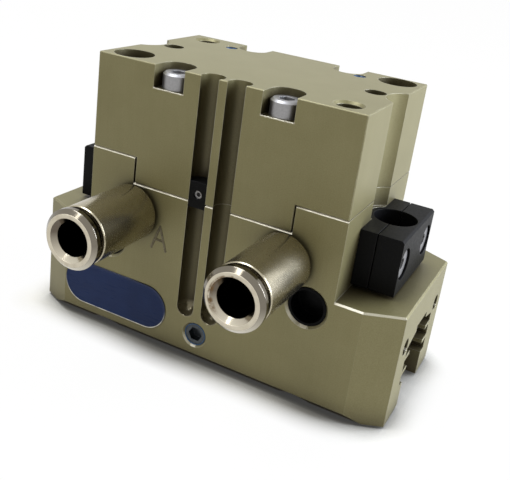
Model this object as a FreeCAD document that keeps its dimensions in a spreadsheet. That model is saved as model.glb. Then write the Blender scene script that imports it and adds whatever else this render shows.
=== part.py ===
# Pneumatic two-jaw parallel gripper with spring assisted closing, in millimetres.
# The origin is the centre of the mounting face, +Z points out of that face,
# the jaws travel along X and the air ports face -Y. The jaws are drawn closed.
import FreeCAD, Part
import os
import Sketcher
from FreeCAD import Vector

# Driving dimensions; a depth is measured down from the mounting face
sizes = {
    # body
    "body_length": 76.0,
    "body_width": 35.0,
    "body_height": 55.0,
    "block_margin": 4.8,
    "shelf_depth": 33.0,
    "shoulder_depth": 18.0,
    "tongue_depth": 23.0,
    "tongue_length": 33.0,
    "tongue_gap": 0.3,
    "corner_length": 6.7,
    "corner_width": 3.2,
    "bottom_bevel": 1.5,
    "edge_break": 0.3,
    "cover_break": 0.15,
    "fit_gap": 0.05,
    "head_gap": 0.1,
    "tap_spare": 1.0,
    "overcut": 2.0,
    # mounting face
    "mount_span_x": 42.4,
    "mount_span_y": 26.6,
    "sleeve_bore": 7.5,
    "sleeve_depth": 3.5,
    "mount_thread": 4.5,
    "mount_thread_depth": 12.0,
    "mount_countersink": 0.5,
    "dowel_hole": 4.0,
    "dowel_hole_depth": 7.0,
    "top_plug_x": 14.2,
    "top_plug_y": 11.2,
    "top_plug_diameter": 2.5,
    "top_plug_length": 4.0,
    "top_plug_key": 1.3,
    "plug_recess": 0.4,
    # sensor slots
    "slot_pitch": 5.2,
    "slot_diameter": 4.3,
    "slot_opening": 3.5,
    "slot_end_rise": 8.4,
    "clamp_top": 19.1,
    "clamp_height": 5.0,
    "clamp_screw": 1.6,
    "clamp_screw_length": 2.2,
    "clamp_screw_key": 0.8,
    # cover screws
    "cover_screw_x": 10.7,
    "cover_screw_y": 14.5,
    "cover_screw": 3.0,
    "cover_screw_length": 25.0,
    "cover_screw_head": 5.5,
    "cover_screw_head_height": 3.0,
    "cover_screw_head_edge": 0.4,
    "cover_screw_key": 2.5,
    "cover_screw_key_depth": 1.4,
    "counterbore": 6.2,
    "counterbore_depth": 4.2,
    # cover locating pins and seal
    "cover_dowel": 3.0,
    "cover_dowel_length": 8.0,
    "cover_seal_wall": 1.0,
    "cover_seal_width": 1.2,
    "cover_seal_height": 1.0,
    # cylinder and piston
    "bore_straight": 5.0,
    "bore_radius": 11.5,
    "bore_floor_rise": 20.5,
    "recess_gap": 0.7,
    "recess_least": 1.0,
    "piston_gap": 0.3,
    "piston_height": 8.0,
    "piston_stroke": 7.5,
    "piston_seal_width": 1.6,
    "piston_seal_height": 2.0,
    "piston_seal_rise": 1.0,
    "magnet_diameter": 3.0,
    "magnet_length": 3.0,
    "magnet_drop": 2.2,
    "magnet_inset": 0.3,
    "piston_screw": 4.0,
    "piston_screw_length": 14.0,
    "piston_screw_head": 7.0,
    "piston_screw_head_height": 4.0,
    "piston_screw_key": 3.0,
    "piston_screw_key_depth": 2.0,
    # closing spring
    "spring_chamber": 19.6,
    "spring_chamber_top": 4.0,
    "spring_diameter": 16.0,
    "spring_wire_width": 2.2,
    "spring_wire_height": 1.8,
    "spring_turns": 5.0,
    # wedge hook
    "rod_diameter": 9.0,
    "rod_seal_width": 1.2,
    "rod_seal_height": 1.6,
    "rod_seal_land": 0.7,
    "hook_chamber_rise": 17.5,
    "hook_gap": 0.8,
    "rail_start": 7.7,
    "rail_thickness": 2.5,
    "rail_width": 8.0,
    "rail_neck": 4.4,
    # base jaws and their guides
    "jaw_stroke": 3.0,
    "jaw_proud": 0.5,
    "jaw_inner_end": 5.0,
    "guide_gap": 0.05,
    "roof_rise": 15.5,
    "roof_flat": 6.6,
    "roof_wall": 1.2,
    "tooth_width": 16.6,
    "tooth_core": 10.8,
    "tooth_top_rise": 13.1,
    "tooth_base_rise": 11.4,
    "tooth_pitch": 3.15,
    "tooth_height": 2.3,
    "jaw_width": 12.5,
    "finger_thread": 3.3,
    "finger_thread_depth": 8.0,
    "finger_sleeve": 6.0,
    "finger_sleeve_depth": 2.0,
    "finger_first": 17.5,
    "finger_pitch": 12.0,
    "end_hole": 3.2,
    "end_hole_y": 10.3,
    "end_hole_rise": 14.5,
    "end_hole_length": 8.0,
    # screw holes of the underside
    "under_sleeve": 8.0,
    "under_sleeve_depth": 1.6,
    "under_thread": 3.3,
    "under_thread_depth": 8.0,
    # plate over the wedge opening
    "plate_length": 19.0,
    "plate_width": 26.0,
    "plate_thickness": 1.2,
    "plate_end_gap": 0.5,
    "plate_jaw_gap": 0.2,
    "plate_screw_y": 10.8,
    "plate_screw": 2.0,
    "plate_screw_head": 3.6,
    "plate_screw_length": 4.5,
    "plate_screw_slot": 0.5,
    "plate_screw_slot_depth": 0.6,
    # push-in fittings
    "port_x": 15.75,
    "port_depth": 28.4,
    "port_thread": 5.0,
    "port_thread_length": 6.0,
    "passage": 2.0,
    "passage_reach": 6.8,
    "passage_inset": 3.8,
    "port_seal_thickness": 1.0,
    "port_seal_width": 1.5,
    "fitting_diameter": 10.8,
    "fitting_length": 15.0,
    "fitting_nose": 0.25,
    "fitting_throat": 8.6,
    "fitting_throat_length": 4.6,
    "fitting_chamber": 9.2,
    "fitting_chamber_length": 4.6,
    "tube_bore": 6.2,
    "tube_stop_length": 1.6,
    "fitting_channel": 2.6,
    "ring_diameter": 11.0,
    "ring_thickness": 1.7,
    "ring_travel": 1.2,
    "ring_sleeve": 8.4,
    "ring_lip": 8.9,
    "ring_lip_length": 0.8,
    "ring_lead": 0.95,
    "ring_edge": 0.8,
    "ring_lip_gap": 0.3,
    "grab_ring_thickness": 0.5,
    "tube_seal_height": 1.3,
    # set screws and plugs of the front face
    "purge_rise": 5.45,
    "purge_diameter": 4.2,
    "purge_length": 5.0,
    "purge_key": 2.5,
    "key_depth": 1.5,
    "side_plug_depth": 35.7,
    "side_plug_diameter": 7.2,
    "side_plug_length": 5.0,
    "side_plug_recess": 0.35,
    "side_plug_dish": 6.2,
    "side_plug_dish_depth": 3.5,
    "rim_chamfer": 0.45,
    # sensor brackets
    "bracket_top": 21.7,
    "bracket_height": 10.6,
    "bracket_width": 20.0,
    "bracket_reach": 8.0,
    "bracket_split": 3.25,
    "bracket_slit": 0.2,
    "bracket_corner": 0.4,
    "sensor_bore": 8.1,
    "groove_radius": 5.84,
    "hub_radius": 4.9,
    "bracket_hub_gap": 0.2,
    "sensor_clearance": 0.4,
    "bracket_screw": 3.0,
    "bracket_screw_span": 13.8,
    "bracket_screw_length": 11.0,
    "bracket_screw_head": 5.3,
    "bracket_screw_head_height": 1.2,
    "bracket_head_gap": 0.3,
    "bracket_head_recess": 0.4,
    "bracket_screw_key": 2.0,
    "bracket_screw_key_depth": 0.9,
    # control cams
    "cam_offset": 1.25,
    "cam_length": 8.0,
    "cam_width": 5.0,
    "cam_thickness": 1.5,
    "cam_screw": 2.0,
    "cam_screw_head": 3.6,
    "cam_screw_length": 4.0,
    "cam_screw_head_height": 1.0,
    "cam_screw_key": 1.3,
    "cam_screw_key_depth": 0.6,
}

# Sizes that follow from others; a rise is measured up from the bottom face
recess_top = "bore_floor_depth - piston_gap - piston_height - piston_stroke - recess_gap"
followers = {
    "block_length": "=mount_span_x + 2 * block_margin",
    "slot_end_depth": "=body_height - slot_end_rise",
    "bore_floor_depth": "=body_height - bore_floor_rise",
    "hook_chamber_depth": "=body_height - hook_chamber_rise",
    "roof_depth": "=body_height - roof_rise",
    "tooth_top": "=body_height - tooth_top_rise",
    "tooth_base": "=body_height - tooth_base_rise",
    "end_hole_depth": "=body_height - end_hole_rise",
    "purge_depth": "=body_height - purge_rise",
    "cover_recess_depth": f"=min({recess_top}; tongue_depth - recess_least)",
}

doc = FreeCAD.newDocument("parallel_gripper")
dims = doc.addObject("Spreadsheet::Sheet", "dims")
for row, (alias, size) in enumerate({**sizes, **followers}.items(), start=1):
    dims.set(f"A{row}", alias)
    dims.set(f"B{row}", str(size))
    dims.setAlias(f"B{row}", alias)
doc.recompute()

nodes = []
touch = 0.001
tooth_rows = 3


# Sketch and feature helpers; every size argument is an expression on the sheet
def new_body(label):
    body = doc.addObject("PartDesign::Body", label)
    body.Label = label
    body.AllowCompound = True
    nodes.append(body)
    return body


def new_sketch(body, name, plane, x="0", y="0", z="0"):
    sketch = body.newObject("Sketcher::SketchObject", name)
    support = next(item for item in body.Origin.OriginFeatures if item.Role == plane + "_Plane")
    sketch.AttachmentSupport = (support, [""])
    sketch.MapMode = "FlatFace"
    for axis, shift in (("x", x), ("y", y), ("z", z)):
        sketch.setExpression("AttachmentOffset.Base." + axis, shift)
    return sketch


def number(expression):
    return float(dims.evalExpression(expression))


def bind(sketch, expression, kind, *items):
    index = sketch.addConstraint(Sketcher.Constraint(kind, *items, number(expression)))
    sketch.setExpression(f"Constraints[{index}]", expression)


def bind_point(sketch, geometry, point, x, y):
    bind(sketch, x, "DistanceX", -1, 1, geometry, point)
    bind(sketch, y, "DistanceY", -1, 1, geometry, point)


def draw_polygon(sketch, corners):
    spots = [Vector(number(x), number(y), 0) for x, y in corners]
    ends = spots[1:] + spots[:1]
    lines = [sketch.addGeometry(Part.LineSegment(a, b), False) for a, b in zip(spots, ends)]
    for line, following in zip(lines, lines[1:] + lines[:1]):
        sketch.addConstraint(Sketcher.Constraint("Coincident", line, 2, following, 1))
    for line, (x, y) in zip(lines, corners):
        bind_point(sketch, line, 1, x, y)


def draw_rectangle(sketch, length, width, x="0", y="0"):
    low_x, high_x = f"{x} - ({length}) / 2", f"{x} + ({length}) / 2"
    low_y, high_y = f"{y} - ({width}) / 2", f"{y} + ({width}) / 2"
    draw_polygon(sketch, [(low_x, low_y), (high_x, low_y), (high_x, high_y), (low_x, high_y)])


def draw_circles(sketch, diameter, centres):
    for x, y in centres:
        centre = Vector(number(x), number(y), 0)
        circle = sketch.addGeometry(Part.Circle(centre, Vector(0, 0, 1), number(diameter) / 2), False)
        bind(sketch, diameter, "Diameter", circle)
        bind_point(sketch, circle, 3, x, y)


def draw_hexagons(sketch, key, centres):
    for x, y in centres:
        corners = []
        for angle in range(0, 360, 60):
            across = f"({key}) / sqrt(3)"
            corners.append((f"{x} + {across} * cos({angle} deg)", f"{y} + {across} * sin({angle} deg)"))
        draw_polygon(sketch, corners)


def draw_stadium(sketch, straight, radius):
    half, size = number(straight) / 2, number(radius)
    corners = [Vector(half, -size, 0), Vector(half, size, 0), Vector(-half, size, 0), Vector(-half, -size, 0)]
    right = Part.Arc(corners[0], Vector(half + size, 0, 0), corners[1])
    top = Part.LineSegment(corners[1], corners[2])
    left = Part.Arc(corners[2], Vector(-half - size, 0, 0), corners[3])
    bottom = Part.LineSegment(corners[3], corners[0])
    right, top, left, bottom = [sketch.addGeometry(item, False) for item in (right, top, left, bottom)]
    for first, second in ((right, top), (top, left), (left, bottom), (bottom, right)):
        sketch.addConstraint(Sketcher.Constraint("Tangent", first, 2, second, 1))
    bind(sketch, radius, "Radius", right)
    bind_point(sketch, right, 3, f"({straight}) / 2", "0")
    bind_point(sketch, left, 3, f"-({straight}) / 2", "0")


def extrude(kind, body, sketch, length, backwards=False, both_ways=False):
    feature = body.newObject("PartDesign::" + kind, sketch.Name + kind)
    feature.Profile = sketch
    feature.Reversed = backwards
    feature.Midplane = both_ways
    feature.setExpression("Length", length)
    return feature


def pad(body, sketch, length, backwards=False, both_ways=False):
    return extrude("Pad", body, sketch, length, backwards, both_ways)


def pocket(body, sketch, length, backwards=False, both_ways=False):
    return extrude("Pocket", body, sketch, length, backwards, both_ways)


def revolve(body, sketch, axis):
    feature = body.newObject("PartDesign::Revolution", sketch.Name + "Turn")
    feature.Profile = sketch
    feature.ReferenceAxis = (sketch, [axis])
    feature.Angle = 360
    return feature


def chamfer(body, feature, size, wanted):
    doc.recompute()
    names = []
    for index, edge in enumerate(feature.Shape.Edges, start=1):
        if wanted(edge):
            names.append(f"Edge{index}")
    cut = body.newObject("PartDesign::Chamfer", feature.Name + "Chamfer")
    cut.Base = (feature, names)
    cut.setExpression("Size", size)
    return cut


def lies_on(edge, axis, place):
    return all(abs(getattr(vertex.Point, axis) - place) < touch for vertex in edge.Vertexes)


def mirrored(source, label):
    copy = doc.addObject("Part::Mirroring", label)
    copy.Label = label
    copy.Source = source
    copy.Normal = (1, 0, 0)
    nodes.append(copy)
    return copy


# Places shared by several pieces
half_length = "dims.body_length / 2"
half_width = "dims.body_width / 2"
half_block = "dims.block_length / 2"
both_sides = ("", "-")
cover_screw_places = [
    (f"{x}dims.cover_screw_x", f"{y}dims.cover_screw_y") for x in both_sides for y in both_sides
]
span_x, span_y = "dims.mount_span_x / 2", "dims.mount_span_y / 2"
sleeve_places = [(f"-{span_x}", f"-{span_y}"), (span_x, span_y)]
thread_places = [(span_x, f"-{span_y}"), (f"-{span_x}", span_y)]
dowel_places = [(f"{x}{span_x}", "0") for x in both_sides]
top_plug_places = [(f"{x}dims.top_plug_x", "dims.top_plug_y") for x in both_sides]
slot_setback = "sqrt(dims.slot_diameter ^ 2 - dims.slot_opening ^ 2) / 2"
slot_y = f"-({half_width} - {slot_setback})"
slot_places = [(f"{x}dims.slot_pitch / 2", slot_y) for x in both_sides]
sensor_x = f"({half_block} + dims.bracket_split)"
sensor_places = [(f"{x}{sensor_x}", "0") for x in both_sides]
bracket_middle = "(dims.bracket_top + dims.bracket_height / 2)"
bracket_seat = "(dims.bracket_head_recess + dims.bracket_screw_head_height)"
bracket_screw_places = [
    (f"{y}dims.bracket_screw_span / 2", f"-{bracket_middle}") for y in both_sides
]
plate_screw_places = [("0", f"{y}dims.plate_screw_y") for y in both_sides]
port_places = [(f"{x}dims.port_x", "-dims.port_depth") for x in both_sides]
side_plug_places = [(f"{x}{span_x}", "-dims.side_plug_depth") for x in both_sides]
purge_places = [("0", "-dims.purge_depth")]
end_hole_places = [(f"{y}dims.end_hole_y", "-dims.end_hole_depth") for y in both_sides]
plate_inside = "(dims.body_height - dims.plate_thickness)"
seat_depth = "(dims.body_height + dims.jaw_proud)"
piston_bottom = "(dims.bore_floor_depth - dims.piston_gap)"
piston_top = f"({piston_bottom} - dims.piston_height)"
hook_top = "(dims.hook_chamber_depth + dims.hook_gap + dims.piston_stroke)"
hook_bottom = f"({plate_inside} - dims.hook_gap)"
wedge_slope = "(dims.jaw_stroke / dims.piston_stroke)"


# Half outline of the toothed jaw guide, grown by a clearance, from the roof down to an end depth
def guide_half(gap, end_depth):
    ridge = f"dims.roof_flat / 2 + {gap}"
    outline = [(ridge, f"-dims.roof_depth + {gap}"), (ridge, f"-dims.roof_depth - dims.roof_wall + {gap}")]
    tooth, core = f"dims.tooth_width / 2 + {gap}", f"dims.tooth_core / 2 + {gap}"
    outline.append((tooth, f"-dims.tooth_top + {gap}"))
    for step in range(tooth_rows):
        base = f"-dims.tooth_base - {step} * dims.tooth_pitch - {gap}"
        if step:
            top = f"-dims.tooth_base - {step} * dims.tooth_pitch + dims.tooth_height + {gap}"
            outline.extend([(core, top), (tooth, top)])
        last = core if step < tooth_rows - 1 else f"dims.jaw_width / 2 + {gap}"
        outline.extend([(tooth, base), (last, base)])
    outline.append((f"dims.jaw_width / 2 + {gap}", f"-{end_depth}"))
    return outline


def draw_guide(sketch, gap, end_depth):
    half = guide_half(gap, end_depth)
    draw_polygon(sketch, half + [(f"-({y})", z) for y, z in reversed(half)])


# Depth of a point on the slanted rails and its distance from the middle
def rail_x(depth, shift="0"):
    return f"dims.rail_start + {wedge_slope} * ({depth} - {hook_top}) + {shift}"


def make_housing():
    body = new_body("housing")
    lower = new_sketch(body, "lower_plan", "XY", z="-dims.body_height")
    x_cut, y_cut = f"({half_length} - dims.corner_length)", f"({half_width} - dims.corner_width)"
    corners = [
        (x_cut, f"-{half_width}"), (half_length, f"-{y_cut}"),
        (half_length, y_cut), (x_cut, half_width),
    ]
    draw_polygon(lower, corners + [(f"-{x}", y) for x, y in reversed(corners)])
    pad(body, lower, "dims.body_height - dims.shelf_depth")
    block = new_sketch(body, "block_plan", "XY", z="-dims.shelf_depth")
    draw_rectangle(block, "dims.block_length", "dims.body_width")
    pad(body, block, "dims.shelf_depth - dims.shoulder_depth")
    recess = new_sketch(body, "tongue_recess", "XY", z="-dims.shoulder_depth")
    draw_rectangle(recess, "dims.tongue_length", "dims.body_width + 2 * dims.overcut")
    shell = pocket(body, recess, "dims.tongue_depth - dims.shoulder_depth")
    side, floor = number(half_width), -number("dims.body_height")
    shell = chamfer(body, shell, "dims.bottom_bevel",
                    lambda edge: lies_on(edge, "z", floor)
                    and (lies_on(edge, "y", side) or lies_on(edge, "y", -side)))
    rims = [-number("dims.shoulder_depth"), -number("dims.tongue_depth")]
    shelf, wall = -number("dims.shelf_depth"), number(half_block)
    chamfer(body, shell, "dims.edge_break",
            lambda edge: any(lies_on(edge, "z", rim) for rim in rims)
            and (lies_on(edge, "y", side) or lies_on(edge, "y", -side))
            or lies_on(edge, "z", shelf) and not (lies_on(edge, "x", wall) or lies_on(edge, "x", -wall)))

    guide = new_sketch(body, "jaw_guide", "YZ")
    draw_guide(guide, "dims.guide_gap", seat_depth)
    pocket(body, guide, "dims.body_length + 2 * dims.overcut", both_ways=True)
    for name, sign, backwards in (("right", "", False), ("left", "-", True)):
        ends = new_sketch(body, name + "_end_holes", "YZ", z=f"{sign}{half_length}")
        draw_circles(ends, "dims.end_hole", end_hole_places)
        pocket(body, ends, "dims.end_hole_length", backwards=backwards)
        taps = new_sketch(body, name + "_bracket_taps", "YZ", z=f"{sign}{half_block}")
        draw_circles(taps, "dims.bracket_screw + 2 * dims.fit_gap", bracket_screw_places)
        buried = f"dims.bracket_screw_length - dims.bracket_reach + {bracket_seat}"
        pocket(body, taps, f"{buried} + dims.tap_spare", backwards=backwards)

    bore = new_sketch(body, "cylinder_bore", "XY", z="-dims.tongue_depth")
    draw_stadium(bore, "dims.bore_straight", "dims.bore_radius")
    pocket(body, bore, "dims.bore_floor_depth - dims.tongue_depth")
    rod = new_sketch(body, "rod_hole", "XY", z="-dims.bore_floor_depth")
    draw_circles(rod, "dims.rod_diameter + 2 * dims.fit_gap", [("0", "0")])
    pocket(body, rod, "dims.roof_depth - dims.bore_floor_depth")
    groove = new_sketch(body, "rod_seal_groove", "XY", z="-dims.bore_floor_depth - dims.rod_seal_land")
    draw_circles(groove, "dims.rod_diameter + 2 * dims.rod_seal_width", [("0", "0")])
    pocket(body, groove, "dims.rod_seal_height")
    chamber = new_sketch(body, "hook_chamber", "XY", z="-dims.hook_chamber_depth")
    reach = rail_x(hook_bottom, "dims.rail_thickness + dims.hook_gap")
    draw_rectangle(chamber, f"2 * ({reach})", "dims.rod_diameter + 2 * dims.hook_gap")
    pocket(body, chamber, "dims.tooth_top - dims.hook_chamber_depth")

    ports = new_sketch(body, "port_threads", "XZ", z=half_width)
    draw_circles(ports, "dims.port_thread + 2 * dims.fit_gap", port_places)
    pocket(body, ports, "dims.port_thread_length")
    for name, sign, target in (("open", "-", "dims.bore_floor_depth"), ("close", "", "dims.tongue_depth")):
        drill = new_sketch(body, name + "_passage", "XZ", z=f"{half_width} - dims.port_thread_length")
        draw_circles(drill, "dims.passage", [(f"{sign}dims.port_x", "-dims.port_depth")])
        passage = pocket(body, drill, "dims.passage_reach")
        passage.UseCustomVector = True
        passage.AlongSketchNormal = True
        passage.Direction = Vector(-number(f"{sign}dims.passage_inset"), number("dims.passage_reach"),
                                   number(f"dims.port_depth - {target} - dims.passage / 2"))

    holes = new_sketch(body, "side_plug_holes", "XZ", z=half_width)
    draw_circles(holes, "dims.side_plug_diameter + 2 * dims.fit_gap", side_plug_places)
    pocket(body, holes, "dims.side_plug_length + dims.side_plug_recess")
    purge = new_sketch(body, "purge_hole", "XZ", z=half_width)
    draw_circles(purge, "dims.purge_diameter + 2 * dims.fit_gap", purge_places)
    drilled = pocket(body, purge, half_width)
    rim_radii = [number(f"dims.{name}_diameter / 2 + dims.fit_gap") for name in ("side_plug", "purge")]
    chamfer(body, drilled, "dims.rim_chamfer",
            lambda edge: lies_on(edge, "y", -side) and hasattr(edge.Curve, "Radius")
            and any(abs(edge.Curve.Radius - radius) < touch for radius in rim_radii))
    slots = new_sketch(body, "sensor_slots", "XY", z="-dims.tongue_depth")
    draw_circles(slots, "dims.slot_diameter", slot_places)
    pocket(body, slots, "dims.slot_end_depth - dims.slot_diameter / 2 - dims.tongue_depth")
    for index, (x, y) in enumerate(slot_places):
        ball = body.newObject("PartDesign::SubtractiveSphere", f"slot_end_{index}")
        ball.setExpression("Radius", "dims.slot_diameter / 2")
        ball.setExpression("Placement.Base.x", x)
        ball.setExpression("Placement.Base.y", y)
        ball.setExpression("Placement.Base.z", "-dims.slot_end_depth + dims.slot_diameter / 2")

    taps = new_sketch(body, "cover_screw_taps", "XY", z="-dims.tongue_depth")
    draw_circles(taps, "dims.cover_screw + 2 * dims.fit_gap", cover_screw_places)
    buried = "dims.counterbore_depth + dims.cover_screw_length - dims.tongue_depth"
    pocket(body, taps, f"{buried} + dims.tap_spare")
    pins = new_sketch(body, "cover_pin_holes", "XY", z="-dims.shoulder_depth")
    draw_circles(pins, "dims.cover_dowel + 2 * dims.fit_gap", dowel_places)
    pocket(body, pins, "dims.cover_dowel_length / 2")
    grooves = new_sketch(body, "sensor_grooves", "XY", z="-dims.shoulder_depth")
    draw_circles(grooves, "2 * dims.groove_radius", sensor_places)
    pocket(body, grooves, "dims.bracket_top - dims.shoulder_depth")
    hubs = new_sketch(body, "hub_grooves", "XY", z="-dims.bracket_top")
    draw_circles(hubs, "2 * (dims.hub_radius + dims.bracket_hub_gap)", sensor_places)
    pocket(body, hubs, "dims.shelf_depth - dims.bracket_top")
    windows = new_sketch(body, "sensor_windows", "XY", z="-dims.shelf_depth")
    draw_circles(windows, "dims.sensor_bore + 2 * dims.sensor_clearance", sensor_places)
    pocket(body, windows, "dims.tooth_top - dims.shelf_depth")
    plate = new_sketch(body, "plate_recess", "XY", z="-dims.body_height")
    draw_rectangle(plate, "dims.plate_length + 2 * dims.fit_gap", "dims.plate_width + 2 * dims.fit_gap")
    pocket(body, plate, "dims.plate_thickness", backwards=True)
    for name in ("under_sleeve", "under_thread"):
        holes = new_sketch(body, name + "_holes", "XY", z="-dims.body_height")
        draw_circles(holes, f"dims.{name}", sleeve_places + thread_places)
        pocket(body, holes, f"dims.{name}_depth", backwards=True)
    taps = new_sketch(body, "plate_screw_taps", "XY", z=f"-{plate_inside}")
    draw_circles(taps, "dims.plate_screw + 2 * dims.fit_gap", plate_screw_places)
    pocket(body, taps, "dims.plate_screw_length", backwards=True)


def make_cover():
    body = new_body("cylinder_cover")
    top = new_sketch(body, "top_plan", "XY")
    draw_rectangle(top, "dims.block_length", "dims.body_width")
    pad(body, top, "dims.shoulder_depth", backwards=True)
    tongue = new_sketch(body, "tongue_plan", "XY", z="-dims.shoulder_depth")
    draw_rectangle(tongue, "dims.tongue_length - 2 * dims.tongue_gap", "dims.body_width")
    block = pad(body, tongue, "dims.tongue_depth - dims.shoulder_depth", backwards=True)
    inner = number("dims.tongue_length / 2 + dims.overcut")
    shoulder = -number("dims.shoulder_depth")
    chamfer(body, block, "dims.cover_break",
            lambda edge: not (lies_on(edge, "z", shoulder) and all(abs(v.X) < inner for v in edge.Vertexes))
            and not all(abs(v.X) < inner and v.Z > shoulder - touch for v in edge.Vertexes))

    sleeves = new_sketch(body, "sleeve_bores", "XY")
    draw_circles(sleeves, "dims.sleeve_bore", sleeve_places)
    pocket(body, sleeves, "dims.sleeve_depth")
    threads = new_sketch(body, "mount_threads", "XY")
    draw_circles(threads, "dims.mount_thread", sleeve_places + thread_places)
    threaded = pocket(body, threads, "dims.mount_thread_depth")
    radius = number("dims.mount_thread") / 2
    chamfer(body, threaded, "dims.mount_countersink",
            lambda edge: lies_on(edge, "z", 0) and hasattr(edge.Curve, "Radius")
            and abs(edge.Curve.Radius - radius) < touch)
    dowels = new_sketch(body, "dowel_holes", "XY")
    draw_circles(dowels, "dims.dowel_hole", dowel_places)
    pocket(body, dowels, "dims.dowel_hole_depth")
    plugs = new_sketch(body, "top_plug_holes", "XY")
    draw_circles(plugs, "dims.top_plug_diameter + 2 * dims.fit_gap", top_plug_places)
    pocket(body, plugs, "dims.top_plug_length + dims.plug_recess")
    heads = new_sketch(body, "counterbores", "XY")
    draw_circles(heads, "dims.counterbore", cover_screw_places)
    pocket(body, heads, "dims.counterbore_depth")
    runs = new_sketch(body, "counterbore_runs", "XY")
    outside = f"({half_width} + dims.overcut)"
    for x in both_sides:
        for y in both_sides:
            draw_rectangle(runs, "dims.counterbore", f"{outside} - dims.cover_screw_y",
                           f"{x}dims.cover_screw_x", f"{y}({outside} + dims.cover_screw_y) / 2")
    pocket(body, runs, "dims.counterbore_depth")
    shanks = new_sketch(body, "screw_holes", "XY")
    draw_circles(shanks, "dims.cover_screw + 2 * dims.fit_gap", cover_screw_places)
    pocket(body, shanks, "dims.tongue_depth")
    slots = new_sketch(body, "sensor_slots", "XY")
    draw_circles(slots, "dims.slot_diameter", slot_places)
    pocket(body, slots, "dims.tongue_depth")
    grooves = new_sketch(body, "sensor_grooves", "XY")
    draw_circles(grooves, "2 * dims.groove_radius", sensor_places)
    pocket(body, grooves, "dims.shoulder_depth")

    recess = new_sketch(body, "piston_recess", "XY", z="-dims.tongue_depth")
    draw_stadium(recess, "dims.bore_straight", "dims.bore_radius")
    pocket(body, recess, "dims.tongue_depth - dims.cover_recess_depth", backwards=True)
    chamber = new_sketch(body, "spring_chamber", "XY", z="-dims.cover_recess_depth")
    draw_circles(chamber, "dims.spring_chamber", [("0", "0")])
    pocket(body, chamber, "dims.cover_recess_depth - dims.spring_chamber_top", backwards=True)
    groove = new_sketch(body, "seal_groove", "XY", z="-dims.tongue_depth")
    inside = "dims.bore_radius + dims.cover_seal_wall"
    draw_stadium(groove, "dims.bore_straight", f"{inside} + dims.cover_seal_width")
    draw_stadium(groove, "dims.bore_straight", inside)
    pocket(body, groove, "dims.cover_seal_height", backwards=True)
    pins = new_sketch(body, "cover_pin_holes", "XY", z="-dims.shoulder_depth")
    draw_circles(pins, "dims.cover_dowel + 2 * dims.fit_gap", dowel_places)
    pocket(body, pins, "dims.cover_dowel_length / 2", backwards=True)


def make_cover_fasteners():
    screws = new_body("cover_screws")
    seat = new_sketch(screws, "heads", "XY", z="-dims.counterbore_depth")
    draw_circles(seat, "dims.cover_screw_head", cover_screw_places)
    heads = pad(screws, seat, "dims.cover_screw_head_height")
    crown = number("-dims.counterbore_depth + dims.cover_screw_head_height")
    chamfer(screws, heads, "dims.cover_screw_head_edge", lambda edge: lies_on(edge, "z", crown))
    shank = new_sketch(screws, "shanks", "XY", z="-dims.counterbore_depth")
    draw_circles(shank, "dims.cover_screw", cover_screw_places)
    pad(screws, shank, "dims.cover_screw_length", backwards=True)
    key = new_sketch(screws, "keys", "XY", z="-dims.counterbore_depth + dims.cover_screw_head_height")
    draw_hexagons(key, "dims.cover_screw_key", cover_screw_places)
    pocket(screws, key, "dims.cover_screw_key_depth")

    pins = new_body("cover_dowels")
    pin = new_sketch(pins, "pins", "XY", z="-dims.shoulder_depth")
    draw_circles(pin, "dims.cover_dowel", dowel_places)
    pad(pins, pin, "dims.cover_dowel_length", both_ways=True)

    seal = new_body("cover_seal")
    ring = new_sketch(seal, "ring", "XY", z="-dims.tongue_depth")
    inside = "dims.bore_radius + dims.cover_seal_wall"
    draw_stadium(ring, "dims.bore_straight", f"{inside} + dims.cover_seal_width - dims.fit_gap")
    draw_stadium(ring, "dims.bore_straight", f"{inside} + dims.fit_gap")
    pad(seal, ring, "dims.cover_seal_height")


def make_plug(label, plane, offset, diameter, length, key, places):
    plug = new_body(label)
    face = new_sketch(plug, "face", plane, z=offset)
    draw_circles(face, diameter, places)
    pad(plug, face, length, backwards=True)
    socket = new_sketch(plug, "socket", plane, z=offset)
    draw_hexagons(socket, key, places)
    pocket(plug, socket, "dims.key_depth")


def make_plugs():
    make_plug("top_plugs", "XY", "-dims.plug_recess", "dims.top_plug_diameter", "dims.top_plug_length",
              "dims.top_plug_key", top_plug_places)
    make_plug("purge_plug", "XZ", f"{half_width} - dims.plug_recess", "dims.purge_diameter",
              "dims.purge_length", "dims.purge_key", purge_places)
    plugs = new_body("side_plugs")
    face = new_sketch(plugs, "face", "XZ", z=f"{half_width} - dims.side_plug_recess")
    draw_circles(face, "dims.side_plug_diameter", side_plug_places)
    pad(plugs, face, "dims.side_plug_length", backwards=True)
    dish = new_sketch(plugs, "dish", "XZ", z=f"{half_width} - dims.side_plug_recess")
    draw_circles(dish, "dims.side_plug_dish", side_plug_places)
    pocket(plugs, dish, "dims.side_plug_dish_depth")


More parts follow.
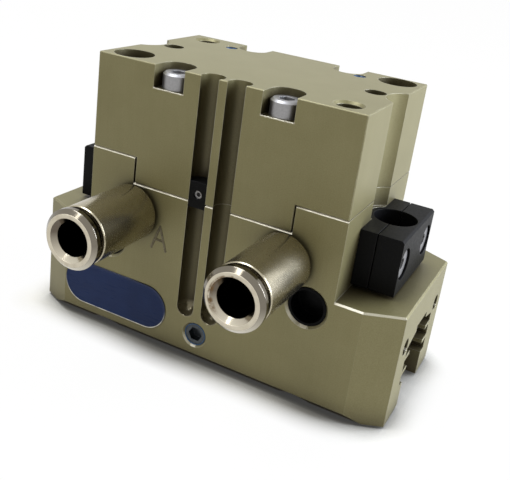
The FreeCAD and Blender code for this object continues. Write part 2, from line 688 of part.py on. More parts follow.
def make_piston():
    piston = new_body("piston")
    plan = new_sketch(piston, "plan", "XY", z=f"-{piston_bottom}")
    draw_stadium(plan, "dims.bore_straight", "dims.bore_radius - dims.fit_gap")
    pad(piston, plan, "dims.piston_height")
    groove_floor = "dims.bore_radius - dims.fit_gap - dims.piston_seal_width"
    groove = new_sketch(piston, "seal_groove", "XY", z=f"-{piston_bottom} + dims.piston_seal_rise")
    draw_stadium(groove, "dims.bore_straight", "dims.bore_radius + dims.piston_seal_width")
    draw_stadium(groove, "dims.bore_straight", groove_floor)
    pocket(piston, groove, "dims.piston_seal_height", backwards=True)
    hole = new_sketch(piston, "screw_hole", "XY", z=f"-{piston_top}")
    draw_circles(hole, "dims.piston_screw + 2 * dims.fit_gap", [("0", "0")])
    pocket(piston, hole, "dims.piston_height")
    head = new_sketch(piston, "head_seat", "XY", z=f"-{piston_top}")
    draw_circles(head, "dims.piston_screw_head + 2 * dims.head_gap", [("0", "0")])
    pocket(piston, head, "dims.piston_screw_head_height")
    magnet_places = [(f"{x}dims.slot_pitch / 2", f"-{piston_top} - dims.magnet_drop") for x in both_sides]
    holes = new_sketch(piston, "magnet_holes", "XZ", z="dims.bore_radius")
    draw_circles(holes, "dims.magnet_diameter + 2 * dims.fit_gap", magnet_places)
    pocket(piston, holes, "dims.fit_gap + dims.magnet_inset + dims.magnet_length")

    magnets = new_body("piston_magnets")
    disc = new_sketch(magnets, "discs", "XZ", z="dims.bore_radius - dims.fit_gap - dims.magnet_inset")
    draw_circles(disc, "dims.magnet_diameter", magnet_places)
    pad(magnets, disc, "dims.magnet_length", backwards=True)

    seal = new_body("piston_seal")
    ring = new_sketch(seal, "ring", "XY", z=f"-{piston_bottom} + dims.piston_seal_rise")
    draw_stadium(ring, "dims.bore_straight", "dims.bore_radius - dims.fit_gap / 2")
    draw_stadium(ring, "dims.bore_straight", f"{groove_floor} + dims.fit_gap")
    pad(seal, ring, "dims.piston_seal_height")

    screw = new_body("piston_screw")
    head = new_sketch(screw, "head", "XY", z=f"-{piston_top}")
    draw_circles(head, "dims.piston_screw_head", [("0", "0")])
    pad(screw, head, "dims.piston_screw_head_height", backwards=True)
    shank = new_sketch(screw, "shank", "XY", z=f"-{piston_top} - dims.piston_screw_head_height")
    draw_circles(shank, "dims.piston_screw", [("0", "0")])
    pad(screw, shank, "dims.piston_screw_length", backwards=True)
    key = new_sketch(screw, "key", "XY", z=f"-{piston_top}")
    draw_hexagons(key, "dims.piston_screw_key", [("0", "0")])
    pocket(screw, key, "dims.piston_screw_key_depth")

    seal = new_body("rod_seal")
    ring = new_sketch(seal, "ring", "XY", z="-dims.bore_floor_depth - dims.rod_seal_land")
    draw_circles(ring, "dims.rod_diameter + 2 * dims.rod_seal_width - 2 * dims.fit_gap", [("0", "0")])
    draw_circles(ring, "dims.rod_diameter + dims.fit_gap", [("0", "0")])
    pad(seal, ring, "dims.rod_seal_height", backwards=True)


# The hook pulls and pushes both jaws through slanted rails of T section
def make_wedge_hook():
    hook = new_body("wedge_hook")
    rod = new_sketch(hook, "rod", "XY", z=f"-{hook_bottom}")
    draw_circles(rod, "dims.rod_diameter", [("0", "0")])
    pad(hook, rod, f"{hook_bottom} - {piston_bottom}")
    neck = new_sketch(hook, "necks", "XZ")
    upper, lower = rail_x(hook_top), rail_x(hook_bottom)
    draw_polygon(neck, [(upper, f"-{hook_top}"), (f"-({upper})", f"-{hook_top}"),
                        (f"-({lower})", f"-{hook_bottom}"), (lower, f"-{hook_bottom}")])
    pad(hook, neck, "dims.rail_neck", both_ways=True)
    rails = new_sketch(hook, "rails", "XZ")
    for sign in both_sides:
        draw_polygon(rails, [
            (f"{sign}({upper})", f"-{hook_top}"),
            (f"{sign}({upper} + dims.rail_thickness)", f"-{hook_top}"),
            (f"{sign}({lower} + dims.rail_thickness)", f"-{hook_bottom}"),
            (f"{sign}({lower})", f"-{hook_bottom}"),
        ])
    pad(hook, rails, "dims.rail_width", both_ways=True)
    tap = new_sketch(hook, "screw_tap", "XY", z=f"-{piston_bottom}")
    draw_circles(tap, "dims.piston_screw + 2 * dims.fit_gap", [("0", "0")])
    buried = "dims.piston_screw_length - dims.piston_height + dims.piston_screw_head_height"
    pocket(hook, tap, f"{buried} + dims.piston_gap")


def make_jaw():
    jaw = new_body("right_base_jaw")
    profile = new_sketch(jaw, "guide_profile", "YZ", z="dims.jaw_inner_end")
    draw_guide(profile, "0", seat_depth)
    pad(jaw, profile, f"{half_length} - dims.jaw_stroke - dims.jaw_inner_end")
    lip_depth = f"({plate_inside} - dims.plate_jaw_gap)"
    step = new_sketch(jaw, "plate_step", "XY", z=f"-{seat_depth}")
    step_end = "dims.plate_length / 2 + dims.plate_end_gap"
    draw_rectangle(step, f"2 * ({step_end})", "dims.tooth_width")
    pocket(jaw, step, f"{seat_depth} - {lip_depth}", backwards=True)
    above = "(dims.roof_depth - dims.overcut)"
    neck = new_sketch(jaw, "neck_slot", "XZ")
    draw_polygon(neck, [("0", f"-{above}"), (rail_x(above), f"-{above}"),
                        (rail_x(lip_depth), f"-{lip_depth}"), ("0", f"-{lip_depth}")])
    pocket(jaw, neck, "dims.rail_neck + 2 * dims.guide_gap", both_ways=True)
    rail = new_sketch(jaw, "rail_slot", "XZ")
    draw_polygon(rail, [
        (rail_x(above, "-dims.guide_gap"), f"-{above}"),
        (rail_x(above, "dims.rail_thickness + dims.guide_gap"), f"-{above}"),
        (rail_x(lip_depth, "dims.rail_thickness + dims.guide_gap"), f"-{lip_depth}"),
        (rail_x(lip_depth, "-dims.guide_gap"), f"-{lip_depth}"),
    ])
    pocket(jaw, rail, "dims.rail_width + 2 * dims.guide_gap", both_ways=True)
    finger_places = [("dims.finger_first", "0"), ("dims.finger_first + dims.finger_pitch", "0")]
    for name in ("finger_sleeve", "finger_thread"):
        holes = new_sketch(jaw, name + "_holes", "XY", z=f"-{seat_depth}")
        draw_circles(holes, f"dims.{name}", finger_places)
        pocket(jaw, holes, f"dims.{name}_depth", backwards=True)
    cam_places = [(f"{sensor_x} - dims.cam_offset", "0")]
    seat = new_sketch(jaw, "cam_seat", "XY", z="-dims.roof_depth")
    draw_rectangle(seat, "dims.cam_length + 2 * dims.fit_gap", "dims.cam_width + 2 * dims.fit_gap",
                   *cam_places[0])
    pocket(jaw, seat, "dims.cam_thickness")
    tap = new_sketch(jaw, "cam_tap", "XY", z="-dims.roof_depth - dims.cam_thickness")
    draw_circles(tap, "dims.cam_screw + 2 * dims.fit_gap", cam_places)
    pocket(jaw, tap, "dims.cam_screw_length")

    cam = new_body("right_control_cam")
    block = new_sketch(cam, "block", "XY", z="-dims.roof_depth")
    draw_rectangle(block, "dims.cam_length", "dims.cam_width", *cam_places[0])
    pad(cam, block, "dims.cam_thickness", backwards=True)
    for name, depth in (("cam_screw", "cam_thickness"), ("cam_screw_head", "cam_screw_head_height")):
        hole = new_sketch(cam, name + "_hole", "XY", z="-dims.roof_depth")
        draw_circles(hole, f"dims.{name} + 2 * dims.fit_gap", cam_places)
        pocket(cam, hole, f"dims.{depth}")

    screw = new_body("right_cam_screw")
    head = new_sketch(screw, "head", "XY", z="-dims.roof_depth")
    draw_circles(head, "dims.cam_screw_head", cam_places)
    pad(screw, head, "dims.cam_screw_head_height", backwards=True)
    shank = new_sketch(screw, "shank", "XY", z="-dims.roof_depth - dims.cam_screw_head_height")
    draw_circles(shank, "dims.cam_screw", cam_places)
    pad(screw, shank, "dims.cam_screw_length", backwards=True)
    key = new_sketch(screw, "key", "XY", z="-dims.roof_depth")
    draw_hexagons(key, "dims.cam_screw_key", cam_places)
    pocket(screw, key, "dims.cam_screw_key_depth")
    mirrored(jaw, "left_base_jaw")
    mirrored(cam, "left_control_cam")
    mirrored(screw, "left_cam_screw")


def make_wedge_plate():
    plate = new_body("wedge_plate")
    sheet = new_sketch(plate, "sheet", "XY", z="-dims.body_height")
    draw_rectangle(sheet, "dims.plate_length", "dims.plate_width")
    pad(plate, sheet, "dims.plate_thickness")
    hole = new_sketch(plate, "screw_holes", "XY", z="-dims.body_height")
    draw_circles(hole, "dims.plate_screw + 2 * dims.fit_gap", plate_screw_places)
    drilled = pocket(plate, hole, "dims.plate_thickness", backwards=True)
    floor = -number("dims.body_height")
    chamfer(plate, drilled, "(dims.plate_screw_head - dims.plate_screw) / 2",
            lambda edge: lies_on(edge, "z", floor) and hasattr(edge.Curve, "Radius"))

    screws = new_body("wedge_plate_screws")
    for index, (x, y) in enumerate(plate_screw_places):
        outline = new_sketch(screws, f"outline_{index}", "XZ", x=x, z=f"-({y})")
        cone = "(dims.plate_screw_head - dims.plate_screw) / 2"
        draw_polygon(outline, [
            ("0", "-dims.body_height"),
            ("dims.plate_screw_head / 2", "-dims.body_height"),
            ("dims.plate_screw / 2", f"-dims.body_height + {cone}"),
            ("dims.plate_screw / 2", "-dims.body_height + dims.plate_screw_length"),
            ("0", "-dims.body_height + dims.plate_screw_length"),
        ])
        revolve(screws, outline, "V_Axis")
    slot = new_sketch(screws, "slots", "XY", z="-dims.body_height")
    for x, y in plate_screw_places:
        draw_rectangle(slot, "dims.plate_screw_head", "dims.plate_screw_slot", x, y)
    pocket(screws, slot, "dims.plate_screw_slot_depth", backwards=True)


# Turned pieces of a push-in fitting, all about the port axis
def make_fitting():
    base = f"-({half_width} + dims.port_seal_thickness)"
    nose = f"({base} - dims.fitting_length)"
    shoulder = f"({nose} + dims.fitting_throat_length)"
    chamber_end = f"({shoulder} + dims.fitting_chamber_length)"
    thread_end = f"(-{half_width} + dims.port_thread_length - dims.fit_gap)"

    def turned(label, outline):
        body = new_body(label)
        sketch = new_sketch(body, "outline", "XY", x="dims.port_x", z="-dims.port_depth")
        draw_polygon(sketch, outline)
        revolve(body, sketch, "V_Axis")
        return mirrored(body, label.replace("right", "left"))

    turned("right_fitting_body", [
        ("dims.fitting_channel / 2", thread_end),
        ("dims.port_thread / 2", thread_end),
        ("dims.port_thread / 2", base),
        ("dims.fitting_diameter / 2", base),
        ("dims.fitting_diameter / 2", f"{nose} + dims.fitting_nose"),
        ("dims.fitting_diameter / 2 - dims.fitting_nose / 2", nose),
        ("dims.fitting_throat / 2", nose),
        ("dims.fitting_throat / 2", shoulder),
        ("dims.fitting_chamber / 2", shoulder),
        ("dims.fitting_chamber / 2", chamber_end),
        ("dims.tube_bore / 2", chamber_end),
        ("dims.tube_bore / 2", f"{chamber_end} + dims.tube_stop_length"),
        ("dims.fitting_channel / 2", f"{chamber_end} + dims.tube_stop_length"),
    ])
    back = f"({nose} - dims.ring_travel)"
    front = f"({back} - dims.ring_thickness)"
    lip = f"({shoulder} + dims.ring_lip_gap)"
    turned("right_release_ring", [
        ("dims.tube_bore / 2 + dims.ring_lead", front),
        ("dims.ring_diameter / 2 - dims.ring_edge", front),
        ("dims.ring_diameter / 2", f"{front} + dims.ring_edge"),
        ("dims.ring_diameter / 2", back),
        ("dims.ring_sleeve / 2", back),
        ("dims.ring_sleeve / 2", lip),
        ("dims.ring_lip / 2", lip),
        ("dims.ring_lip / 2", f"{lip} + dims.ring_lip_length"),
        ("dims.tube_bore / 2", f"{lip} + dims.ring_lip_length"),
        ("dims.tube_bore / 2", f"{front} + dims.ring_lead"),
    ])
    outer = "dims.fitting_chamber / 2 - dims.fit_gap"
    seal_front = f"({chamber_end} - dims.tube_seal_height)"
    turned("right_tube_seal", [("dims.tube_bore / 2", seal_front), (outer, seal_front),
                               (outer, chamber_end), ("dims.tube_bore / 2", chamber_end)])
    grab_front = f"({seal_front} - dims.grab_ring_thickness)"
    turned("right_grab_ring", [("dims.tube_bore / 2", grab_front), (outer, grab_front),
                               (outer, seal_front), ("dims.tube_bore / 2", seal_front)])
    inner = "dims.port_thread / 2 + dims.fit_gap"
    wide = f"{inner} + dims.port_seal_width"
    face = f"-({half_width})"
    turned("right_port_seal", [(inner, base), (wide, base), (wide, face), (inner, face)])


def make_bracket():
    bottom = "-dims.bracket_top - dims.bracket_height"
    inner_face = f"({sensor_x} - dims.bracket_slit / 2)"
    outer_face = f"({sensor_x} + dims.bracket_slit / 2)"
    end_face = f"({half_block} + dims.bracket_reach)"
    hole = "dims.bracket_screw + 2 * dims.fit_gap"

    inner = new_body("right_bracket_inner")
    hub = new_sketch(inner, "hub", "XY", z=bottom)
    draw_circles(hub, "2 * dims.hub_radius", [(sensor_x, "0")])
    pad(inner, hub, "dims.bracket_height")
    strip = new_sketch(inner, "strip", "XY", z=bottom)
    strip_length = f"{inner_face} - {half_block}"
    draw_rectangle(strip, strip_length, "dims.bracket_width", f"{half_block} + ({strip_length}) / 2")
    pad(inner, strip, "dims.bracket_height")
    half = new_sketch(inner, "parting", "XY", z=bottom)
    draw_rectangle(half, "2 * dims.hub_radius", "dims.bracket_width", f"{inner_face} + dims.hub_radius")
    pocket(inner, half, "dims.bracket_height", backwards=True)
    bore = new_sketch(inner, "sensor_bore", "XY", z=bottom)
    draw_circles(bore, "dims.sensor_bore", [(sensor_x, "0")])
    pocket(inner, bore, "dims.bracket_height", backwards=True)
    holes = new_sketch(inner, "screw_holes", "YZ", z=inner_face)
    draw_circles(holes, hole, bracket_screw_places)
    pocket(inner, holes, strip_length)

    outer = new_body("right_bracket_outer")
    block = new_sketch(outer, "block", "XY", z=bottom)
    block_length = f"{end_face} - {outer_face}"
    draw_rectangle(block, block_length, "dims.bracket_width", f"{outer_face} + ({block_length}) / 2")
    solid = pad(outer, block, "dims.bracket_height")
    end, crown = number(end_face), -number("dims.bracket_top")
    chamfer(outer, solid, "dims.bracket_corner",
            lambda edge: lies_on(edge, "x", end) and lies_on(edge, "z", crown))
    bore = new_sketch(outer, "sensor_bore", "XY", z=bottom)
    draw_circles(bore, "dims.sensor_bore", [(sensor_x, "0")])
    pocket(outer, bore, "dims.bracket_height", backwards=True)
    holes = new_sketch(outer, "screw_holes", "YZ", z=end_face)
    draw_circles(holes, hole, bracket_screw_places)
    pocket(outer, holes, block_length)
    heads = new_sketch(outer, "head_seats", "YZ", z=end_face)
    draw_circles(heads, "dims.bracket_screw_head + 2 * dims.bracket_head_gap", bracket_screw_places)
    pocket(outer, heads, bracket_seat)

    screws = new_body("right_bracket_screws")
    seat = f"{end_face} - {bracket_seat}"
    head = new_sketch(screws, "heads", "YZ", z=seat)
    draw_circles(head, "dims.bracket_screw_head", bracket_screw_places)
    pad(screws, head, "dims.bracket_screw_head_height")
    shank = new_sketch(screws, "shanks", "YZ", z=seat)
    draw_circles(shank, "dims.bracket_screw", bracket_screw_places)
    pad(screws, shank, "dims.bracket_screw_length", backwards=True)
    key = new_sketch(screws, "keys", "YZ", z=f"{end_face} - dims.bracket_head_recess")
    draw_hexagons(key, "dims.bracket_screw_key", bracket_screw_places)
    pocket(screws, key, "dims.bracket_screw_key_depth")
    for piece in (inner, outer, screws):
        mirrored(piece, piece.Label.replace("right", "left"))


# Stop that sits in the left sensor slot, flush with the front face, and its grub screw
def make_slot_clamp():
    x, y = slot_places[1]
    middle = "-dims.clamp_top - dims.clamp_height / 2"
    clamp = new_body("slot_clamp")
    disc = new_sketch(clamp, "disc", "XY", z="-dims.clamp_top - dims.clamp_height")
    draw_circles(disc, "dims.slot_diameter - 2 * dims.fit_gap", [(x, y)])
    pad(clamp, disc, "dims.clamp_height")
    face = new_sketch(clamp, "face", "XZ", z=f"{half_width} - dims.fit_gap")
    draw_rectangle(face, "2 * dims.slot_diameter", "2 * dims.clamp_height", x, middle)
    pocket(clamp, face, "dims.slot_diameter", backwards=True)
    tap = new_sketch(clamp, "tap", "XZ", z=half_width)
    draw_circles(tap, "dims.clamp_screw + 2 * dims.fit_gap", [(x, middle)])
    pocket(clamp, tap, "dims.clamp_screw_length + dims.plug_recess")
    screw = new_body("slot_clamp_screw")
    shank = new_sketch(screw, "shank", "XZ", z=f"{half_width} - dims.plug_recess")
    draw_circles(shank, "dims.clamp_screw", [(x, middle)])
    pad(screw, shank, "dims.clamp_screw_length", backwards=True)
    key = new_sketch(screw, "key", "XZ", z=f"{half_width} - dims.plug_recess")
    draw_hexagons(key, "dims.clamp_screw_key", [(x, middle)])
    pocket(screw, key, "dims.clamp_screw_length / 2")


def make_spring():
    low = f"-{piston_top} + dims.spring_wire_height / 2"
    high = "-dims.spring_chamber_top - dims.spring_wire_height / 2"
    helix = doc.addObject("Part::Helix", "spring_path")
    helix.setExpression("Radius", "dims.spring_diameter / 2")
    helix.setExpression("Height", f"{high} - ({low})")
    helix.setExpression("Pitch", f"({high} - ({low})) / dims.spring_turns")
    helix.setExpression("Placement.Base.z", low)
    wire = doc.addObject("Sketcher::SketchObject", "spring_section")
    wire.Placement.Rotation = FreeCAD.Rotation(Vector(1, 0, 0), 90)
    draw_rectangle(wire, "dims.spring_wire_width", "dims.spring_wire_height", "dims.spring_diameter / 2", low)
    doc.recompute()
    spring = doc.addObject("Part::Sweep", "closing_spring")
    spring.Label = "closing_spring"
    spring.Sections = [wire]
    spring.Spine = (helix, ["Edge1"])
    spring.Solid = True
    spring.Frenet = True
    nodes.append(spring)


make_housing()
make_cover()
make_cover_fasteners()
make_plugs()
make_piston()
make_wedge_hook()
make_jaw()
make_wedge_plate()
make_fitting()
make_bracket()
make_slot_clamp()
make_spring()
doc.recompute()

failed = [item.Name for item in doc.Objects if "Invalid" in item.State or "Error" in item.State]
failed += [node.Label for node in nodes if node.Shape.isNull() or not node.Shape.isValid()]
if failed:
    raise RuntimeError("failed objects: " + ", ".join(failed))

os.makedirs("parts", exist_ok=True)
for node in nodes:
    node.Shape.exportStep(f"parts/{node.Label}.step")
    print(node.Label, len(node.Shape.Solids), round(node.Shape.Volume, 1))
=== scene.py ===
import math
import bmesh
import bpy
from mathutils import Euler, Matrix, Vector


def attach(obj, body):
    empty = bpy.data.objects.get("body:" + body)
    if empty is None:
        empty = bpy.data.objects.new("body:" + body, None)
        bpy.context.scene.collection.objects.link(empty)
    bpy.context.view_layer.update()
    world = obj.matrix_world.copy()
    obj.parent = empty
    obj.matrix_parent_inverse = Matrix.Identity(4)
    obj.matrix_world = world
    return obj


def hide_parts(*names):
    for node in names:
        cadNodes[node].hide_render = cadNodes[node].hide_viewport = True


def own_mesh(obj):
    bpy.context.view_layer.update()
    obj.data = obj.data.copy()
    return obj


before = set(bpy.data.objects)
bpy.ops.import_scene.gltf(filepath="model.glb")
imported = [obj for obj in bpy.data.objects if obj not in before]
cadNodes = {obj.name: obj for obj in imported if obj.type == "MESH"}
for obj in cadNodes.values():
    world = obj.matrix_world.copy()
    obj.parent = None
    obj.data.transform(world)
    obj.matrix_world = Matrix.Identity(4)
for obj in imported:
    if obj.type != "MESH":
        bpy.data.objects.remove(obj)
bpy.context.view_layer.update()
scene = bpy.context.scene
mm = 0.001
frontFace = -17.5 * mm
shaderSamples = {"bevel": 6, "paintedShade": 8}
print("frame loaded with", len(cadNodes), "nodes")


def inMm(*values):
    return tuple(value * mm for value in values)


# helpers for shader trees
def startMaterial(name):
    material = bpy.data.materials.new(name)
    material.use_nodes = True
    tree = material.node_tree
    shader = tree.nodes["Principled BSDF"]
    return material, tree, shader


def addNode(tree, kind, **inputs):
    node = tree.nodes.new(kind)
    for name, value in inputs.items():
        node.inputs[name].default_value = value
    return node


def split(tree, vector):
    node = tree.nodes.new("ShaderNodeSeparateXYZ")
    tree.links.new(vector, node.inputs["Vector"])
    return node.outputs


def objectCoords(tree, scale=(1, 1, 1)):
    coords = tree.nodes.new("ShaderNodeTexCoord")
    mapping = addNode(tree, "ShaderNodeMapping", Scale=scale)
    tree.links.new(coords.outputs["Object"], mapping.inputs["Vector"])
    return mapping.outputs["Vector"]


def separatePlace(tree):
    coords = tree.nodes.new("ShaderNodeTexCoord")
    return split(tree, coords.outputs["Object"])


# a noise in the settings below is (scale, detail, roughness, stretch), the last ones left out where plain
def noise(tree, scale, detail=3.0, roughness=0.55, stretch=(1, 1, 1)):
    node = addNode(tree, "ShaderNodeTexNoise", Scale=scale, Detail=detail, Roughness=roughness)
    tree.links.new(objectCoords(tree, stretch), node.inputs["Vector"])
    return node.outputs["Fac"]


# a range in the settings below is (from low, from high, to low, to high), the last two left out for 0 to 1
def mapTo(tree, value, fromLow, fromHigh, toLow=0.0, toHigh=1.0):
    node = tree.nodes.new("ShaderNodeMapRange")
    tree.links.new(value, node.inputs["Value"])
    node.inputs["From Min"].default_value = fromLow
    node.inputs["From Max"].default_value = fromHigh
    node.inputs["To Min"].default_value = toLow
    node.inputs["To Max"].default_value = toHigh
    return node.outputs["Result"]


def mixColour(tree, factor, first, second):
    node = tree.nodes.new("ShaderNodeMix")
    node.data_type = "RGBA"
    tree.links.new(factor, node.inputs["Factor"])
    for socket, value in ((node.inputs["A"], first), (node.inputs["B"], second)):
        if isinstance(value, tuple):
            socket.default_value = (*value, 1)
        else:
            tree.links.new(value, socket)
    return node.outputs["Result"]


def calculate(tree, operation, first, second=None, clamp=False):
    node = tree.nodes.new("ShaderNodeMath")
    node.operation = operation
    node.use_clamp = clamp
    for socket, value in zip(node.inputs, (first, second)):
        if isinstance(value, (int, float)):
            socket.default_value = value
        elif value is not None:
            tree.links.new(value, socket)
    return node.outputs["Value"]


def combine(tree, operation, first, second):
    return calculate(tree, operation, first, second, True)


def product(tree, first, second):
    return combine(tree, "MULTIPLY", first, second)


def vectorMath(tree, operation, first, second=None):
    node = tree.nodes.new("ShaderNodeVectorMath")
    node.operation = operation
    tree.links.new(first, node.inputs[0])
    if isinstance(second, tuple):
        node.inputs[1].default_value = second
    elif second is not None:
        tree.links.new(second, node.inputs[1])
    return node


# a band is (low, high, soft): one between low and high, fading to nothing over soft
def band(tree, value, low, high, soft):
    rise = mapTo(tree, value, low - soft, low)
    return product(tree, rise, mapTo(tree, value, high, high + soft, 1.0, 0.0))


def roundedEdges(tree, radius):
    bevel = addNode(tree, "ShaderNodeBevel", Radius=radius)
    bevel.samples = shaderSamples["bevel"]
    return bevel.outputs["Normal"]


def edgeMask(tree, rounded, reach):
    flat = tree.nodes.new("ShaderNodeNewGeometry")
    likeness = vectorMath(tree, "DOT_PRODUCT", rounded, flat.outputs["Normal"])
    return mapTo(tree, likeness.outputs["Value"], 1.0, 1.0 - reach)


# ambient occlusion, used to paint shade into the body's recesses and a contact shadow onto the floor
def paintedShadeMask(tree, reach):
    shade = addNode(tree, "ShaderNodeAmbientOcclusion", Distance=reach)
    shade.samples = shaderSamples["paintedShade"]
    return shade.outputs["AO"]


def addBump(tree, shader, height, strength, distance, rounded=None):
    bump = addNode(tree, "ShaderNodeBump", Strength=strength, Distance=distance)
    tree.links.new(height, bump.inputs["Height"])
    if rounded is not None:
        tree.links.new(rounded, bump.inputs["Normal"])
    tree.links.new(bump.outputs["Normal"], shader.inputs["Normal"])


def seenRays(tree):
    path = tree.nodes.new("ShaderNodeLightPath")
    seen = combine(tree, "MAXIMUM", path.outputs["Is Camera Ray"], path.outputs["Is Glossy Ray"])
    return combine(tree, "MAXIMUM", seen, path.outputs["Is Transmission Ray"])


# anodised body
anodised = {
    "base": (0.158, 0.138, 0.057),
    "pale": (0.232, 0.210, 0.102),
    "edge": (0.42, 0.40, 0.31),
    # painted shade colour for recesses, corners and spots beside other parts
    "paintedShade": (0.033, 0.022, 0.008),
    # painted highlight colour for up-facing chamfers, hole rims and counterbore steps
    "chamfer": (0.70, 0.66, 0.54),
    # lighter colour for the slots' ball ends: a painted highlight
    "slotEndHighlight": (0.21, 0.182, 0.108),
    "metallic": 0.45,
    "edgeRadius": 0.14 * mm,
    "wideRadius": 0.45 * mm,
    "paintedShadeReach": 10.0 * mm,
    "grain": (5200, 2.0),
    "blotch": (140, 4.0, 0.6),
    "millLines": (1.0, 2.0, 0.5, (2600, 2600, 110)),
    "grainTone": (0.3, 0.7, 0.0, 0.55),
    "blotchTone": (0.35, 0.7, 0.0, 0.2),
    "millTone": (0.35, 0.65, 0.0, 0.06),
    "paintedShadeTone": (0.78, 0.33, 0.0, 0.88),
    "wornReach": 0.12,
    "wornTone": (0.3, 0.6, 0.25, 0.8),
    "chamferHighlightTone": (0.3, 0.55, 0.45, 1.0),
    "roughness": (0.25, 0.75, 0.38, 0.52),
    "slotEndPolish": 0.3,
    "bump": (0.12, 0.03 * mm),
}

# where painted highlights go on the body: parts of the unit normal, and lengths from the centre of the
# mounting face
highlightSpots = {
    "slant": (0.62, 0.79, 0.04),
    "straight": (-0.12, 0.12, 0.04),
    "rimUpward": (0.0, 0.4),
    "rimSideways": (0.0, 0.5, 0.06, 0.6),
    "chamferTop": inMm(-2.0, -2.5),
    "slotsAcross": inMm(-5.2, 5.2, 0.1),
    "slotsDepth": inMm(-17.1, 0.0, 0.05),
    "slotEndAcross": inMm(-4.9, 4.9, 0.1),
    "slotEndHeight": inMm(-47.3, -45.6, 1.3),
    "slotEndDepth": inMm(-17.6, -13.2, 0.05),
    "slotEndInside": inMm(-17.45, -17.35),
    "slotEndReach": 0.1,
    "stepAcross": inMm(7.5, 13.9, 0.1),
    "stepDepth": inMm(17.15, 17.6, 0.1),
    "stepHeight": inMm(4.1, 4.55, 0.1),
    "stepReach": 0.2,
}


# chamfers and hole rims that face up and outwards, below the mounting face and beside the front slots:
# painted highlight
def chamferMask(tree):
    facing = split(tree, tree.nodes.new("ShaderNodeNewGeometry").outputs["True Normal"])
    outward = calculate(tree, "ABSOLUTE", facing["Y"])
    slanted = band(tree, outward, *highlightSpots["slant"])
    upward = product(tree, band(tree, facing["Z"], *highlightSpots["slant"]),
                     band(tree, facing["X"], *highlightSpots["straight"]))
    upward = product(tree, slanted, upward)
    rim = product(tree, slanted, mapTo(tree, facing["Z"], *highlightSpots["rimUpward"]))
    rim = product(tree, rim, mapTo(tree, facing["X"], *highlightSpots["rimSideways"]))
    place = separatePlace(tree)
    lower = mapTo(tree, place["Z"], *highlightSpots["chamferTop"])
    slots = product(tree, band(tree, place["X"], *highlightSpots["slotsAcross"]),
                    band(tree, place["Y"], *highlightSpots["slotsDepth"]))
    lower = product(tree, lower, combine(tree, "SUBTRACT", 1.0, slots))
    return product(tree, combine(tree, "MAXIMUM", upward, rim), lower)


# ball ends of the front slots: what is polished and painted lighter there (a painted highlight), inside and
# round the rim, and the whole place
def slotEndMask(tree, rounded):
    place = separatePlace(tree)
    ends = product(tree, band(tree, place["X"], *highlightSpots["slotEndAcross"]),
                   band(tree, place["Z"], *highlightSpots["slotEndHeight"]))
    ends = product(tree, ends, band(tree, place["Y"], *highlightSpots["slotEndDepth"]))
    within = mapTo(tree, place["Y"], *highlightSpots["slotEndInside"])
    rim = edgeMask(tree, rounded, highlightSpots["slotEndReach"])
    return product(tree, ends, combine(tree, "MAXIMUM", rim, within)), ends


# outer edges of the counterbore floors, painted as a bright line: painted highlight
def stepMask(tree):
    place = split(tree, vectorMath(tree, "ABSOLUTE", objectCoords(tree)).outputs["Vector"])
    across = product(tree, band(tree, place["X"], *highlightSpots["stepAcross"]),
                     band(tree, place["Y"], *highlightSpots["stepDepth"]))
    return product(tree, across, band(tree, place["Z"], *highlightSpots["stepHeight"]))


def makeAnodised():
    material, tree, shader = startMaterial("hardAnodised")
    grain = noise(tree, *anodised["grain"])
    blotch = noise(tree, *anodised["blotch"])
    millLines = noise(tree, *anodised["millLines"])
    tone = combine(tree, "ADD", mapTo(tree, grain, *anodised["grainTone"]),
                   mapTo(tree, blotch, *anodised["blotchTone"]))
    tone = combine(tree, "ADD", tone, mapTo(tree, millLines, *anodised["millTone"]))
    colour = mixColour(tree, tone, anodised["base"], anodised["pale"])
    # painted shade: the colour darkens to dark brown where ambient occlusion finds recesses, corners and
    # nearby parts
    openness = paintedShadeMask(tree, anodised["paintedShadeReach"])
    colour = mixColour(tree, mapTo(tree, openness, *anodised["paintedShadeTone"]), colour, anodised["paintedShade"])
    rounded = roundedEdges(tree, anodised["edgeRadius"])
    worn = product(tree, edgeMask(tree, rounded, anodised["wornReach"]),
                   mapTo(tree, blotch, *anodised["wornTone"]))
    colour = mixColour(tree, worn, colour, anodised["edge"])
    # painted highlight: chamfers and rims that face up are painted a pale bright colour
    chamferHighlight = product(tree, chamferMask(tree), mapTo(tree, blotch, *anodised["chamferHighlightTone"]))
    colour = mixColour(tree, chamferHighlight, colour, anodised["chamfer"])
    wide = roundedEdges(tree, anodised["wideRadius"])
    # painted highlight: the ball ends get a lighter colour of their own over the painted shade, and are
    # polished smoother
    highlighted, ends = slotEndMask(tree, wide)
    colour = mixColour(tree, highlighted, colour, anodised["slotEndHighlight"])
    # painted highlight: a bright line along the outer edges of the counterbore steps
    steps = stepMask(tree)
    stepEdges = product(tree, steps, edgeMask(tree, wide, highlightSpots["stepReach"]))
    colour = mixColour(tree, stepEdges, colour, anodised["chamfer"])
    tree.links.new(colour, shader.inputs["Base Color"])
    dull = mapTo(tree, grain, *anodised["roughness"])
    roughness = combine(tree, "SUBTRACT", dull, product(tree, highlighted, anodised["slotEndPolish"]))
    tree.links.new(roughness, shader.inputs["Roughness"])
    shader.inputs["Metallic"].default_value = anodised["metallic"]
    normal = tree.nodes.new("ShaderNodeMix")
    normal.data_type = "VECTOR"
    tree.links.new(combine(tree, "MAXIMUM", ends, steps), normal.inputs["Factor"])
    tree.links.new(rounded, normal.inputs["A"])
    tree.links.new(wide, normal.inputs["B"])
    addBump(tree, shader, grain, *anodised["bump"], normal.outputs["Result"])
    return material


